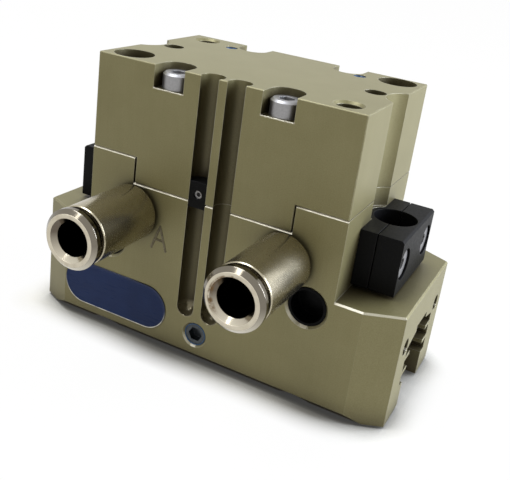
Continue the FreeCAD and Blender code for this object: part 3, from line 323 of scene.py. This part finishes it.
# nickel of the two fittings, whose axes run along Y at axisX to either side
nickel = {
    "base": (0.42, 0.378, 0.272),
    "shade": (0.36, 0.322, 0.222),
    "inside": (0.006, 0.005, 0.004),
    "axisX": 15.75 * mm,
    "axisZ": -28.4 * mm,
    "boreRadius": 4.68 * mm,
    "boreSoft": 0.02 * mm,
    "edgeRadius": 0.12 * mm,
    "streaks": (1.0, 2.0, 0.5, (90, 2400, 90)),
    "spots": (4200, 2.0),
    "streakTone": (0.35, 0.7, 0.0, 0.3),
    "spotTone": (0.4, 0.75, 0.0, 0.1),
    "roughness": (0.3, 0.7, 0.24, 0.28),
    "bump": (0.03, 0.02 * mm),
}


def distanceFromPort(tree, place):
    flat = tree.nodes.new("ShaderNodeCombineXYZ")
    tree.links.new(calculate(tree, "ABSOLUTE", place["X"]), flat.inputs["X"])
    tree.links.new(place["Z"], flat.inputs["Y"])
    axis = (nickel["axisX"], nickel["axisZ"], 0)
    return vectorMath(tree, "DISTANCE", flat.outputs["Vector"], axis).outputs["Value"]


# normal of a turned surface: its slope along the port axis is from the mesh,
# its direction round the axis is from the place
def turnedNormal(tree, place, rounded):
    axis = calculate(tree, "MULTIPLY", calculate(tree, "SIGN", place["X"]), nickel["axisX"])
    spoke = tree.nodes.new("ShaderNodeCombineXYZ")
    tree.links.new(calculate(tree, "SUBTRACT", place["X"], axis), spoke.inputs["X"])
    tree.links.new(calculate(tree, "SUBTRACT", place["Z"], nickel["axisZ"]), spoke.inputs["Z"])
    radial = vectorMath(tree, "NORMALIZE", spoke.outputs["Vector"]).outputs["Vector"]
    slope = split(tree, rounded)
    side = calculate(tree, "SIGN", vectorMath(tree, "DOT_PRODUCT", rounded, radial).outputs["Value"])
    rest = calculate(tree, "SUBTRACT", 1.0, calculate(tree, "POWER", slope["Y"], 2.0))
    share = calculate(tree, "SQRT", calculate(tree, "MAXIMUM", rest, 0.0))
    outward = vectorMath(tree, "SCALE", radial)
    tree.links.new(calculate(tree, "MULTIPLY", side, share), outward.inputs["Scale"])
    along = tree.nodes.new("ShaderNodeCombineXYZ")
    tree.links.new(slope["Y"], along.inputs["Y"])
    return vectorMath(tree, "ADD", outward.outputs["Vector"], along.outputs["Vector"]).outputs["Vector"]


def makeNickelSatin():
    material, tree, shader = startMaterial("nickelSatin")
    streaks = noise(tree, *nickel["streaks"])
    spots = noise(tree, *nickel["spots"])
    tone = combine(tree, "ADD", mapTo(tree, streaks, *nickel["streakTone"]),
                   mapTo(tree, spots, *nickel["spotTone"]))
    colour = mixColour(tree, tone, nickel["base"], nickel["shade"])
    place = separatePlace(tree)
    # painted shade: inside the bore the fitting is painted near-black
    reach = distanceFromPort(tree, place)
    within = mapTo(tree, reach, nickel["boreRadius"] + nickel["boreSoft"], nickel["boreRadius"])
    tree.links.new(mixColour(tree, within, colour, nickel["inside"]), shader.inputs["Base Color"])
    tree.links.new(mapTo(tree, spots, *nickel["roughness"]), shader.inputs["Roughness"])
    shader.inputs["Metallic"].default_value = 1.0
    smooth = turnedNormal(tree, place, roundedEdges(tree, nickel["edgeRadius"]))
    addBump(tree, shader, streaks, *nickel["bump"], smooth)
    return material


# release rings: the painted highlight low on the ring and the stain are placed from the port axis
releaseRing = {
    "bright": (0.19, 0.17, 0.135),
    "face": (0.62, 0.57, 0.455),
    "faceDull": (0.53, 0.475, 0.37),
    "lead": (0.13, 0.108, 0.083),
    "lowEdgeHighlight": (0.50, 0.465, 0.38),
    "inside": (0.006, 0.005, 0.004),
    "stain": (0.13, 0.075, 0.030),
    "facePlane": -36.33 * mm,
    "faceSoft": 0.02 * mm,
    "leadRadius": 4.15 * mm,
    "leadSoft": 0.1 * mm,
    "leadEnd": -35.50 * mm,
    "leadEndSoft": 0.05 * mm,
    "boreRadius": 3.4 * mm,
    "boreSoft": 0.1 * mm,
    "edgeRadius": 0.22 * mm,
    "lowHighlightSpan": inMm(0.5, -4.0),
    "smear": (900, 3.0),
    "smearTone": (0.35, 0.7),
    "stainPatches": (750, 5.0, 0.7),
    "stainTone": (0.38, 0.54, 0.0, 0.9),
    "stainInner": 3.75 * mm,
    "stainSoft": 0.25 * mm,
    "stainAcross": inMm(1.4, -0.6),
    "stainHeight": inMm(-3.4, -2.0),
    "roughness": (0.0, 1.0, 0.14, 0.42),
    "bump": (0.04, 0.02 * mm),
}


# span of a place beside the port axis, as a range
def besideAxis(axis, span):
    return [nickel[axis] + offset for offset in span]


def stainMask(tree, place, reach):
    patches = mapTo(tree, noise(tree, *releaseRing["stainPatches"]), *releaseRing["stainTone"])
    inner = band(tree, reach, releaseRing["stainInner"], releaseRing["leadRadius"], releaseRing["stainSoft"])
    leftward = mapTo(tree, place["X"], *besideAxis("axisX", releaseRing["stainAcross"]))
    upper = mapTo(tree, place["Z"], *besideAxis("axisZ", releaseRing["stainHeight"]))
    return product(tree, product(tree, patches, inner), product(tree, leftward, upper))


def makeRingFinish(name, stained):
    material, tree, shader = startMaterial(name)
    place = separatePlace(tree)
    reach = distanceFromPort(tree, place)
    facePlane = releaseRing["facePlane"]
    onFace = mapTo(tree, place["Y"], facePlane + releaseRing["faceSoft"], facePlane)
    smear = noise(tree, *releaseRing["smear"])
    faceTone = mapTo(tree, smear, *releaseRing["smearTone"])
    faceColour = mixColour(tree, faceTone, releaseRing["face"], releaseRing["faceDull"])
    leadRadius = releaseRing["leadRadius"]
    inLead = mapTo(tree, reach, leadRadius, leadRadius - releaseRing["leadSoft"])
    # painted highlight: the outer edge and the lead-in get lighter towards the bottom of the ring
    lowHighlight = mapTo(tree, place["Z"], *besideAxis("axisZ", releaseRing["lowHighlightSpan"]))
    edgeColour = mixColour(tree, lowHighlight, releaseRing["bright"], releaseRing["lowEdgeHighlight"])
    leadColour = mixColour(tree, lowHighlight, releaseRing["lead"], releaseRing["face"])
    colour = mixColour(tree, onFace, mixColour(tree, inLead, edgeColour, leadColour), faceColour)
    if stained:
        colour = mixColour(tree, stainMask(tree, place, reach), colour, releaseRing["stain"])
    # painted shade: the bore past the lead-in is painted near-black
    leadEnd = releaseRing["leadEnd"]
    deep = mapTo(tree, place["Y"], leadEnd, leadEnd + releaseRing["leadEndSoft"])
    boreRadius = releaseRing["boreRadius"]
    near = mapTo(tree, reach, boreRadius + releaseRing["boreSoft"], boreRadius)
    within = product(tree, deep, near)
    tree.links.new(mixColour(tree, within, colour, releaseRing["inside"]), shader.inputs["Base Color"])
    tree.links.new(mapTo(tree, onFace, *releaseRing["roughness"]), shader.inputs["Roughness"])
    shader.inputs["Metallic"].default_value = 1.0
    smooth = turnedNormal(tree, place, roundedEdges(tree, releaseRing["edgeRadius"]))
    addBump(tree, shader, smear, *releaseRing["bump"], smooth)
    return material


# plain metals and dull finishes: what they share, and what each has of its own
shared = {
    "detail": 3.0,
    "noiseRoughness": 0.6,
    "contrast": (0.3, 0.7),
    "metalEdge": 0.12 * mm,
    "metalBump": (0.06, 0.02 * mm),
    "dullEdge": 0.2 * mm,
    "dullReach": 0.15,
    "dullWorn": (0.2, 0.7),
    "dullTone": (0.45, 0.85, 0.0, 0.3),
    "dullBump": (0.18, 0.03 * mm),
    "specular": 0.5,
}
metals = {
    "zincScrew": {"base": (0.32, 0.315, 0.315), "shade": (0.28, 0.275, 0.275),
                  "roughness": (0.40, 0.47), "grain": 3500},
    "purgeScrew": {"base": (0.075, 0.083, 0.088), "shade": (0.045, 0.050, 0.053),
                   "roughness": (0.30, 0.42), "grain": 2500},
    "groundSteel": {"base": (0.20, 0.185, 0.135), "shade": (0.15, 0.135, 0.095),
                    "roughness": (0.30, 0.44), "grain": 1.0, "stretch": (90, 2500, 2500), "edge": 0.15 * mm},
    "turnedAluminium": {"base": (0.66, 0.66, 0.66), "shade": (0.55, 0.55, 0.55),
                        "roughness": (0.25, 0.40), "grain": 1.0, "stretch": (300, 300, 2500)},
    "drawnWire": {"base": (0.40, 0.40, 0.41), "shade": (0.30, 0.30, 0.31),
                  "roughness": (0.25, 0.4), "grain": 1200},
    "platedMagnet": {"base": (0.58, 0.58, 0.59), "shade": (0.48, 0.48, 0.5),
                     "roughness": (0.15, 0.3), "grain": 1500},
    # engraved letters: their dark colour is painted shade of the grooves
    "engravedGroove": {"base": (0.16, 0.14, 0.09), "shade": (0.10, 0.085, 0.055),
                       "roughness": (0.3, 0.45), "grain": 3000},
}
dulls = {
    "matteBlackBracket": {"base": (0.004, 0.004, 0.004), "worn": (0.020, 0.020, 0.020),
                          "roughness": (0.40, 0.55), "grain": 2600, "specular": 0.07},
    "blackPlug": {"base": (0.002, 0.002, 0.002), "worn": (0.006, 0.006, 0.006),
                  "roughness": (0.25, 0.40), "grain": 1800, "specular": 0.05},
    "sealRubber": {"base": (0.012, 0.012, 0.012), "worn": (0.030, 0.030, 0.030),
                   "roughness": (0.5, 0.7), "grain": 1500},
    "lockingWax": {"base": (0.012, 0.070, 0.180), "worn": (0.030, 0.130, 0.270),
                   "roughness": (0.25, 0.45), "grain": 1600},
}


def lookGrain(tree, look):
    stretch = look.get("stretch", (1, 1, 1))
    return noise(tree, look["grain"], shared["detail"], shared["noiseRoughness"], stretch)


def makeMetal(name):
    look = metals[name]
    material, tree, shader = startMaterial(name)
    grain = lookGrain(tree, look)
    tone = mapTo(tree, grain, *shared["contrast"])
    tree.links.new(mixColour(tree, tone, look["base"], look["shade"]), shader.inputs["Base Color"])
    roughness = mapTo(tree, grain, *shared["contrast"], *look["roughness"])
    tree.links.new(roughness, shader.inputs["Roughness"])
    shader.inputs["Metallic"].default_value = 1.0
    rounded = roundedEdges(tree, look.get("edge", shared["metalEdge"]))
    addBump(tree, shader, grain, *shared["metalBump"], rounded)
    return material


def makeDull(name):
    look = dulls[name]
    material, tree, shader = startMaterial(name)
    grain = lookGrain(tree, look)
    rounded = roundedEdges(tree, shared["dullEdge"])
    worn = product(tree, edgeMask(tree, rounded, shared["dullReach"]),
                   mapTo(tree, grain, *shared["contrast"], *shared["dullWorn"]))
    tone = combine(tree, "MAXIMUM", worn, mapTo(tree, grain, *shared["dullTone"]))
    tree.links.new(mixColour(tree, tone, look["base"], look["worn"]), shader.inputs["Base Color"])
    roughness = mapTo(tree, grain, *shared["contrast"], *look["roughness"])
    tree.links.new(roughness, shader.inputs["Roughness"])
    shader.inputs["Specular IOR Level"].default_value = look.get("specular", shared["specular"])
    addBump(tree, shader, grain, *shared["dullBump"], rounded)
    return material


bodyFinish = makeAnodised()
nickelFinish = makeNickelSatin()
leftRingFinish = makeRingFinish("leftRingPolish", False)
rightRingFinish = makeRingFinish("rightRingPolish", True)
zincFinish = makeMetal("zincScrew")
purgeFinish = makeMetal("purgeScrew")
steelFinish = makeMetal("groundSteel")
turnedFinish = makeMetal("turnedAluminium")
springFinish = makeMetal("drawnWire")
magnetFinish = makeMetal("platedMagnet")
bracketFinish = makeDull("matteBlackBracket")
plugFinish = makeDull("blackPlug")
rubberFinish = makeDull("sealRubber")

finishOf = {
    "housing": bodyFinish, "cylinder_cover": bodyFinish,
    "cover_screws": zincFinish, "cover_dowels": steelFinish, "cover_seal": rubberFinish,
    "top_plugs": zincFinish, "purge_plug": purgeFinish, "side_plugs": plugFinish,
    "piston": turnedFinish, "piston_magnets": magnetFinish, "piston_seal": rubberFinish,
    "piston_screw": zincFinish, "rod_seal": rubberFinish, "wedge_hook": steelFinish,
    "wedge_plate": turnedFinish, "wedge_plate_screws": zincFinish,
    "slot_clamp": bracketFinish, "slot_clamp_screw": zincFinish, "closing_spring": springFinish,
    "right_release_ring": rightRingFinish, "left_release_ring": leftRingFinish,
}
pairedFinishOf = {
    "base_jaw": steelFinish, "control_cam": steelFinish, "grab_ring": steelFinish,
    "cam_screw": zincFinish, "bracket_screws": zincFinish,
    "tube_seal": rubberFinish, "port_seal": rubberFinish,
    "bracket_inner": bracketFinish, "bracket_outer": bracketFinish,
    "fitting_body": nickelFinish,
}
for side in ("right", "left"):
    for piece, finish in pairedFinishOf.items():
        finishOf[f"{side}_{piece}"] = finish
for name, node in cadNodes.items():
    node.data.materials.clear()
    node.data.materials.append(finishOf[name])
print("finishes on all CAD nodes")


# nested stadium outlines on the front face: each ring is (inset, rise) in millimetres from the outline
def stadiumRings(shape, start, end, radius, rings, steps, materialOf=lambda ring: 0):
    along = (Vector(end) - Vector(start)).normalized()
    across = Vector((-along.y, along.x))
    loops = []
    for inset, rise in rings:
        loop = []
        for step in range(2 * steps):
            angle = math.pi * (step % steps) / (steps - 1)
            centre, sign = (Vector(end), 1) if step < steps else (Vector(start), -1)
            spoke = sign * (math.sin(angle) * along - math.cos(angle) * across)
            spot = centre + (radius - inset * mm) * spoke
            loop.append(shape.verts.new((spot.x, frontFace - rise * mm, spot.y)))
        loops.append(loop)
    count = 2 * steps
    for ring in range(len(loops) - 1):
        outer, inner = loops[ring], loops[ring + 1]
        for i in range(count):
            j = (i + 1) % count
            quad = shape.faces.new((outer[i], outer[j], inner[j], inner[i]))
            quad.material_index = materialOf(ring)
            quad.smooth = True
    lid = shape.faces.new(loops[-1])
    lid.material_index = materialOf(len(loops) - 1)
    shape.faces.new(list(reversed(loops[0])))


def finishMesh(shape, name, materials, body):
    bmesh.ops.recalc_face_normals(shape, faces=shape.faces)
    mesh = bpy.data.meshes.new(name)
    shape.to_mesh(mesh)
    shape.free()
    for material in materials:
        mesh.materials.append(material)
    piece = bpy.data.objects.new(name, mesh)
    scene.collection.objects.link(piece)
    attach(piece, body)
    return piece


# closing spring between the cover and the piston, where the real spring shortens; this copy of the CAD
# spring is only welded and put in place of the CAD node, and keeps its length
closingSpring = {
    "node": "closing_spring",
    "joint": "piston_slide",
    "weld": 0.001 * mm,
}


def makeClosingSpring():
    shape = bmesh.new()
    shape.from_mesh(cadNodes[closingSpring["node"]].data)
    bmesh.ops.remove_doubles(shape, verts=shape.verts, dist=closingSpring["weld"])
    spring = finishMesh(shape, "closingSpring", [springFinish], "body")
    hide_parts(closingSpring["node"])
    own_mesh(spring)


makeClosingSpring()
print("closing spring made")

# bare oval plate on the front, with rings in millimetres and the rim's painted highlight placed from the
# plate's middle
plate = {
    "centre": (-18.9 * mm, -47.4 * mm),
    "length": 24.3 * mm,
    "height": 9.2 * mm,
    "rings": [(0.0, 0.0), (0.0, 0.10), (0.04, 0.16), (0.09, 0.18), (0.18, 0.18), (0.22, 0.16),
              (0.8, 0.15), (2.0, 0.155), (3.6, 0.16)],
    "rimRings": 5,
    "steps": 24,
    "navy": (0.007, 0.019, 0.074),
    "navyWorn": (0.012, 0.030, 0.104),
    "cloud": (300, 4.0, 0.6),
    "scuffs": (1.0, 3.0, 0.7, (250, 250, 3500)),
    "cloudTone": (0.35, 0.75, 0.0, 0.5),
    "scuffTone": (0.58, 0.75, 0.0, 0.5),
    "roughness": (0.3, 0.7, 0.24, 0.42),
    "specular": 0.14,
    "bump": (0.05, 0.03 * mm),
    "rimDark": (0.030, 0.036, 0.060),
    "rimHighlightColour": (0.60, 0.58, 0.50),
    "rimHighlightSpan": inMm(0.5, -3.5),
    "rimHighlightNoise": (900, 3.0),
    "rimTone": (0.3, 0.6, 0.5, 1.0),
    "rimRoughness": 0.3,
}


def makePlateFinish():
    material, tree, shader = startMaterial("navyPlate")
    cloud = noise(tree, *plate["cloud"])
    scuffs = noise(tree, *plate["scuffs"])
    tone = combine(tree, "ADD", mapTo(tree, cloud, *plate["cloudTone"]),
                   mapTo(tree, scuffs, *plate["scuffTone"]))
    tree.links.new(mixColour(tree, tone, plate["navy"], plate["navyWorn"]), shader.inputs["Base Color"])
    tree.links.new(mapTo(tree, scuffs, *plate["roughness"]), shader.inputs["Roughness"])
    shader.inputs["Specular IOR Level"].default_value = plate["specular"]
    addBump(tree, shader, cloud, *plate["bump"])
    return material


def makeRimFinish():
    material, tree, shader = startMaterial("plateRim")
    height = separatePlace(tree)["Z"]
    middle = plate["centre"][1]
    # painted highlight: the rim is painted bright along its lower side
    highlighted = mapTo(tree, height, *[middle + offset for offset in plate["rimHighlightSpan"]])
    rimHighlight = product(tree, highlighted, mapTo(tree, noise(tree, *plate["rimHighlightNoise"]), *plate["rimTone"]))
    tree.links.new(mixColour(tree, rimHighlight, plate["rimDark"], plate["rimHighlightColour"]), shader.inputs["Base Color"])
    shader.inputs["Roughness"].default_value = plate["rimRoughness"]
    shader.inputs["Metallic"].default_value = 1.0
    return material


def makePlate():
    shape = bmesh.new()
    x, z = plate["centre"]
    radius = plate["height"] / 2
    half = plate["length"] / 2 - radius
    stadiumRings(shape, (x - half, z), (x + half, z), radius, plate["rings"], plate["steps"],
                 lambda ring: 0 if ring < plate["rimRings"] else 1)
    finishMesh(shape, "namePlate", [makeRimFinish(), makePlateFinish()], "body")


makePlate()

# engraved port letters, in shares of their width and height, with rings in millimetres
letters = {
    "width": 3.2 * mm,
    "height": 4.6 * mm,
    "centreX": 9.7 * mm,
    "centreZ": -32.3 * mm,
    "stroke": 0.50 * mm,
    "rings": [(0.0, 0.0), (0.05, 0.035), (0.12, 0.035), (0.2, 0.012)],
    "steps": 8,
    "strokesA": [[(-0.5, -0.5), (0.0, 0.5)], [(0.0, 0.5), (0.5, -0.5)], [(-0.3, -0.1), (0.3, -0.1)]],
    "stemB": [[(-0.4, -0.5), (-0.4, 0.5)], [(-0.4, 0.5), (0.05, 0.5)], [(-0.4, 0.02), (0.1, 0.02)],
              [(-0.4, -0.5), (0.1, -0.5)]],
    "bowlsB": [(0.05, 0.26, 0.34, 0.24), (0.10, -0.24, 0.38, 0.26)],
    "bowlSteps": 8,
}


def letterStrokes():
    strokes = list(letters["stemB"])
    for x, z, wide, high in letters["bowlsB"]:
        angles = [math.pi * (step / letters["bowlSteps"] - 0.5) for step in range(letters["bowlSteps"] + 1)]
        arc = [(x + wide * math.cos(angle), z + high * math.sin(angle)) for angle in angles]
        strokes += [list(pair) for pair in zip(arc, arc[1:])]
    return {-1: letters["strokesA"], 1: strokes}


def makeLetters():
    finish = makeMetal("engravedGroove")
    for side, strokes in letterStrokes().items():
        shape = bmesh.new()
        middle = side * letters["centreX"]
        for stroke in strokes:
            ends = [(middle + x * letters["width"], letters["centreZ"] + z * letters["height"])
                    for x, z in stroke]
            stadiumRings(shape, *ends, letters["stroke"] / 2, letters["rings"], letters["steps"])
        finishMesh(shape, "portLetterA" if side < 0 else "portLetterB", [finish], "body")


makeLetters()
print("plate and port letters made")


# geometry node trees for what repeats: every tree puts one shape on the points of its base mesh
curveSteps = {"helix": 28, "ridge": 4, "waxRing": 40, "waxBead": 10}


def startTree(name, inputs):
    tree = bpy.data.node_groups.new(name, "GeometryNodeTree")
    tree.interface.new_socket("Geometry", in_out="INPUT", socket_type="NodeSocketGeometry")
    for label, kind in inputs.items():
        tree.interface.new_socket(label, in_out="INPUT", socket_type=kind)
    tree.interface.new_socket("Geometry", in_out="OUTPUT", socket_type="NodeSocketGeometry")
    return tree, tree.nodes.new("NodeGroupInput")


def closeTree(tree, given, shape, turn=None):
    points = tree.nodes.new("GeometryNodeMeshToPoints")
    place = tree.nodes.new("GeometryNodeInstanceOnPoints")
    real = tree.nodes.new("GeometryNodeRealizeInstances")
    paint = tree.nodes.new("GeometryNodeSetMaterial")
    out = tree.nodes.new("NodeGroupOutput")
    tree.links.new(given.outputs["Geometry"], points.inputs["Mesh"])
    tree.links.new(points.outputs["Points"], place.inputs["Points"])
    tree.links.new(shape, place.inputs["Instance"])
    if turn is not None:
        tree.links.new(turn, place.inputs["Rotation"])
    tree.links.new(place.outputs["Instances"], real.inputs["Geometry"])
    tree.links.new(real.outputs["Geometry"], paint.inputs["Geometry"])
    tree.links.new(given.outputs["Finish"], paint.inputs["Material"])
    tree.links.new(paint.outputs["Geometry"], out.inputs["Geometry"])


def sweep(tree, curve, sectionRadius, sectionSteps):
    section = addNode(tree, "GeometryNodeCurvePrimitiveCircle", Resolution=sectionSteps)
    swept = tree.nodes.new("GeometryNodeCurveToMesh")
    tree.links.new(sectionRadius, section.inputs["Radius"])
    tree.links.new(curve, swept.inputs["Curve"])
    tree.links.new(section.outputs["Curve"], swept.inputs["Profile Curve"])
    return swept.outputs["Mesh"]


def makeThreadTree():
    tree, given = startTree("screwThread", {
        "Radius": "NodeSocketFloat", "Turns": "NodeSocketFloat", "Height": "NodeSocketFloat",
        "Ridge": "NodeSocketFloat", "Finish": "NodeSocketMaterial"})
    helix = addNode(tree, "GeometryNodeCurveSpiral", Resolution=curveSteps["helix"])
    for socket in ("Start Radius", "End Radius"):
        tree.links.new(given.outputs["Radius"], helix.inputs[socket])
    tree.links.new(given.outputs["Turns"], helix.inputs["Rotations"])
    tree.links.new(given.outputs["Height"], helix.inputs["Height"])
    ridge = sweep(tree, helix.outputs["Curve"], given.outputs["Ridge"], curveSteps["ridge"])
    closeTree(tree, given, ridge)
    return tree


def makeWaxTree():
    tree, given = startTree("lockingWax", {
        "Radius": "NodeSocketFloat", "Bead": "NodeSocketFloat", "Turn": "NodeSocketVector",
        "Finish": "NodeSocketMaterial"})
    circle = addNode(tree, "GeometryNodeCurvePrimitiveCircle", Resolution=curveSteps["waxRing"])
    tree.links.new(given.outputs["Radius"], circle.inputs["Radius"])
    bead = sweep(tree, circle.outputs["Curve"], given.outputs["Bead"], curveSteps["waxBead"])
    turn = tree.nodes.new("FunctionNodeEulerToRotation")
    tree.links.new(given.outputs["Turn"], turn.inputs["Euler"])
    closeTree(tree, given, bead, turn.outputs["Rotation"])
    return tree


def growOn(points, tree, settings, name, body):
    mesh = bpy.data.meshes.new(name)
    mesh.from_pydata([Vector(point) * mm for point in points], [], [])
    piece = bpy.data.objects.new(name, mesh)
    scene.collection.objects.link(piece)
    modifier = piece.modifiers.new(name, "NODES")
    modifier.node_group = tree
    for item in tree.interface.items_tree:
        if item.in_out == "INPUT" and item.name in settings:
            modifier[item.identifier] = settings[item.name]
    evaluated = piece.evaluated_get(bpy.context.evaluated_depsgraph_get())
    grown = bpy.data.meshes.new_from_object(evaluated)
    piece.modifiers.clear()
    piece.data = grown
    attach(piece, body)


# screw threads in the tapped holes, in millimetres: lowest points, radius, turns and height
threads = {
    "mountThreads": {"points": [(21.2, -13.3, -10.8), (-21.2, 13.3, -10.8)], "radius": 2.25,
                     "turns": 12.5, "height": 10.0, "ridge": 0.26, "body": "body", "finish": bodyFinish,
                     "slot": "anodised_body"},
    "sleeveThreads": {"points": [(-21.2, -13.3, -11.4), (21.2, 13.3, -11.4)], "radius": 2.25,
                      "turns": 9.5, "height": 7.6, "ridge": 0.26, "body": "body", "finish": bodyFinish,
                      "slot": "anodised_body"},
    "rightFingerThreads": {"points": [(17.5, 0, -53.3), (29.5, 0, -53.3)], "radius": 1.65,
                           "turns": 7.5, "height": 5.3, "ridge": 0.22, "body": "right_jaw",
                           "finish": steelFinish, "slot": "hardened_steel"},
    "leftFingerThreads": {"points": [(-17.5, 0, -53.3), (-29.5, 0, -53.3)], "radius": 1.65,
                          "turns": 7.5, "height": 5.3, "ridge": 0.22, "body": "left_jaw",
                          "finish": steelFinish, "slot": "hardened_steel"},
}
threadTree = makeThreadTree()
for name, thread in threads.items():
    growOn(thread["points"], threadTree, {
        "Radius": thread["radius"] * mm, "Turns": thread["turns"], "Height": thread["height"] * mm,
        "Ridge": thread["ridge"] * mm, "Finish": thread["finish"]}, name, thread["body"])

# locking wax round the set screws, in millimetres
wax = {
    "front": {"points": [(0, -17.15, -49.55)], "radius": 2.15, "bead": 0.10, "turn": (math.pi / 2, 0, 0)},
    "top": {"points": [(14.2, 11.2, -0.35), (-14.2, 11.2, -0.35)], "radius": 1.22, "bead": 0.16,
            "turn": (0, 0, 0)},
}
waxFinish = makeDull("lockingWax")
waxTree = makeWaxTree()
for place, ring in wax.items():
    growOn(ring["points"], waxTree, {
        "Radius": ring["radius"] * mm, "Bead": ring["bead"] * mm, "Turn": ring["turn"],
        "Finish": waxFinish}, place + "Wax", "body")
print("threads and wax made")


# floor, light and camera
studio = {
    "floorHeight": -55.5 * mm,
    "floorSize": 6.0,
    "floorColour": (0.90, 0.86, 0.77),
    "floorRoughness": 0.6,
    "paintedContactShadow": (0.13, 0.125, 0.10),
    "contactReach": 9 * mm,
    "contactTone": (0.35, 0.85),
    "footprint": (38 * mm, 17.5 * mm, 0),
    "glowNear": (0.8 * mm, 0.04),
    "glowFar": (6.5 * mm, 0.98),
    "roomColour": (1.0, 0.99, 0.97, 1),
    "roomStrength": 0.22,
    "backdrop": (1, 1, 1, 1),
    "lampAim": inMm(0, 0, -30),
    "lamps": {
        "overhead": {"place": (-0.20, 0.00, 0.60), "size": (0.34, 0.34), "power": 3.4,
                     "tint": (0.94, 1.0, 1.11)},
        "panel": {"place": (-0.26, -0.27, 0.55), "size": (0.40, 0.10), "power": 1.0,
                  "tint": (1.0, 1.0, 1.0)},
        "windowRight": {"place": (0.57, 0.25, 0.22), "size": (0.45, 0.45), "power": 7.8,
                        "tint": (0.92, 1.0, 1.18)},
    },
    "cameraPlace": (59.20 * mm, -129.17 * mm, 27.77 * mm),
    "cameraTurn": (69.748, -7.224, 27.440),
    "sensorWidth": 36,
    "lens": 53.751,
    "shift": (0.0085, -0.1027),
    "clipStart": 1 * mm,
}


# the floor shines white to the eye, except beside the part, where its own colour and shadow show, with a
# painted contact shadow darkening it further
def makeFloor():
    bpy.ops.mesh.primitive_plane_add(size=studio["floorSize"], location=(0, 0, studio["floorHeight"]))
    floor = bpy.context.object
    floor.name = "studioFloor"
    material, tree, shader = startMaterial("paleTable")
    # painted shadow: the floor's colour darkens towards the part
    openness = mapTo(tree, paintedShadeMask(tree, studio["contactReach"]), *studio["contactTone"])
    colour = mixColour(tree, openness, studio["paintedContactShadow"], studio["floorColour"])
    tree.links.new(colour, shader.inputs["Base Color"])
    shader.inputs["Roughness"].default_value = studio["floorRoughness"]
    glow = addNode(tree, "ShaderNodeEmission", Strength=1.0)
    seen = seenRays(tree)
    away = objectCoords(tree)
    for operation, second in (("ABSOLUTE", None), ("SUBTRACT", studio["footprint"]), ("MAXIMUM", (0, 0, 0))):
        away = vectorMath(tree, operation, away, second).outputs["Vector"]
    spread = vectorMath(tree, "LENGTH", away).outputs["Value"]
    (near, nearShare), (far, farShare) = studio["glowNear"], studio["glowFar"]
    share = product(tree, seen, mapTo(tree, spread, near, far, nearShare, farShare))
    blend = tree.nodes.new("ShaderNodeMixShader")
    tree.links.new(share, blend.inputs["Fac"])
    tree.links.new(shader.outputs["BSDF"], blend.inputs[1])
    tree.links.new(glow.outputs["Emission"], blend.inputs[2])
    tree.links.new(blend.outputs["Shader"], tree.nodes["Material Output"].inputs["Surface"])
    floor.data.materials.append(material)


def makeWorld():
    world = bpy.data.worlds.new("studioWorld")
    world.use_nodes = True
    tree = world.node_tree
    room = tree.nodes["Background"]
    room.inputs["Color"].default_value = studio["roomColour"]
    room.inputs["Strength"].default_value = studio["roomStrength"]
    backdrop = addNode(tree, "ShaderNodeBackground", Color=studio["backdrop"], Strength=1.0)
    blend = tree.nodes.new("ShaderNodeMixShader")
    tree.links.new(seenRays(tree), blend.inputs["Fac"])
    tree.links.new(room.outputs["Background"], blend.inputs[1])
    tree.links.new(backdrop.outputs["Background"], blend.inputs[2])
    tree.links.new(blend.outputs["Shader"], tree.nodes["World Output"].inputs["Surface"])
    scene.world = world


def makeLamps():
    for name, lamp in studio["lamps"].items():
        data = bpy.data.lights.new(name, "AREA")
        data.shape = "RECTANGLE"
        data.size, data.size_y = lamp["size"]
        data.energy = lamp["power"]
        data.color = lamp["tint"]
        lampObject = bpy.data.objects.new(name, data)
        lampObject.location = lamp["place"]
        aim = Vector(studio["lampAim"]) - Vector(lamp["place"])
        lampObject.rotation_euler = aim.to_track_quat("-Z", "Y").to_euler()
        scene.collection.objects.link(lampObject)


def makeCamera():
    data = bpy.data.cameras.new("photoCamera")
    data.sensor_width = studio["sensorWidth"]
    data.lens = studio["lens"]
    data.shift_x, data.shift_y = studio["shift"]
    data.clip_start = studio["clipStart"]
    camera = bpy.data.objects.new("photoCamera", data)
    camera.location = studio["cameraPlace"]
    camera.rotation_euler = Euler([math.radians(angle) for angle in studio["cameraTurn"]], "XYZ")
    scene.collection.objects.link(camera)
    scene.camera = camera


makeFloor()
makeWorld()
makeLamps()
makeCamera()
scene.view_settings.view_transform = "Standard"
print("studio ready")
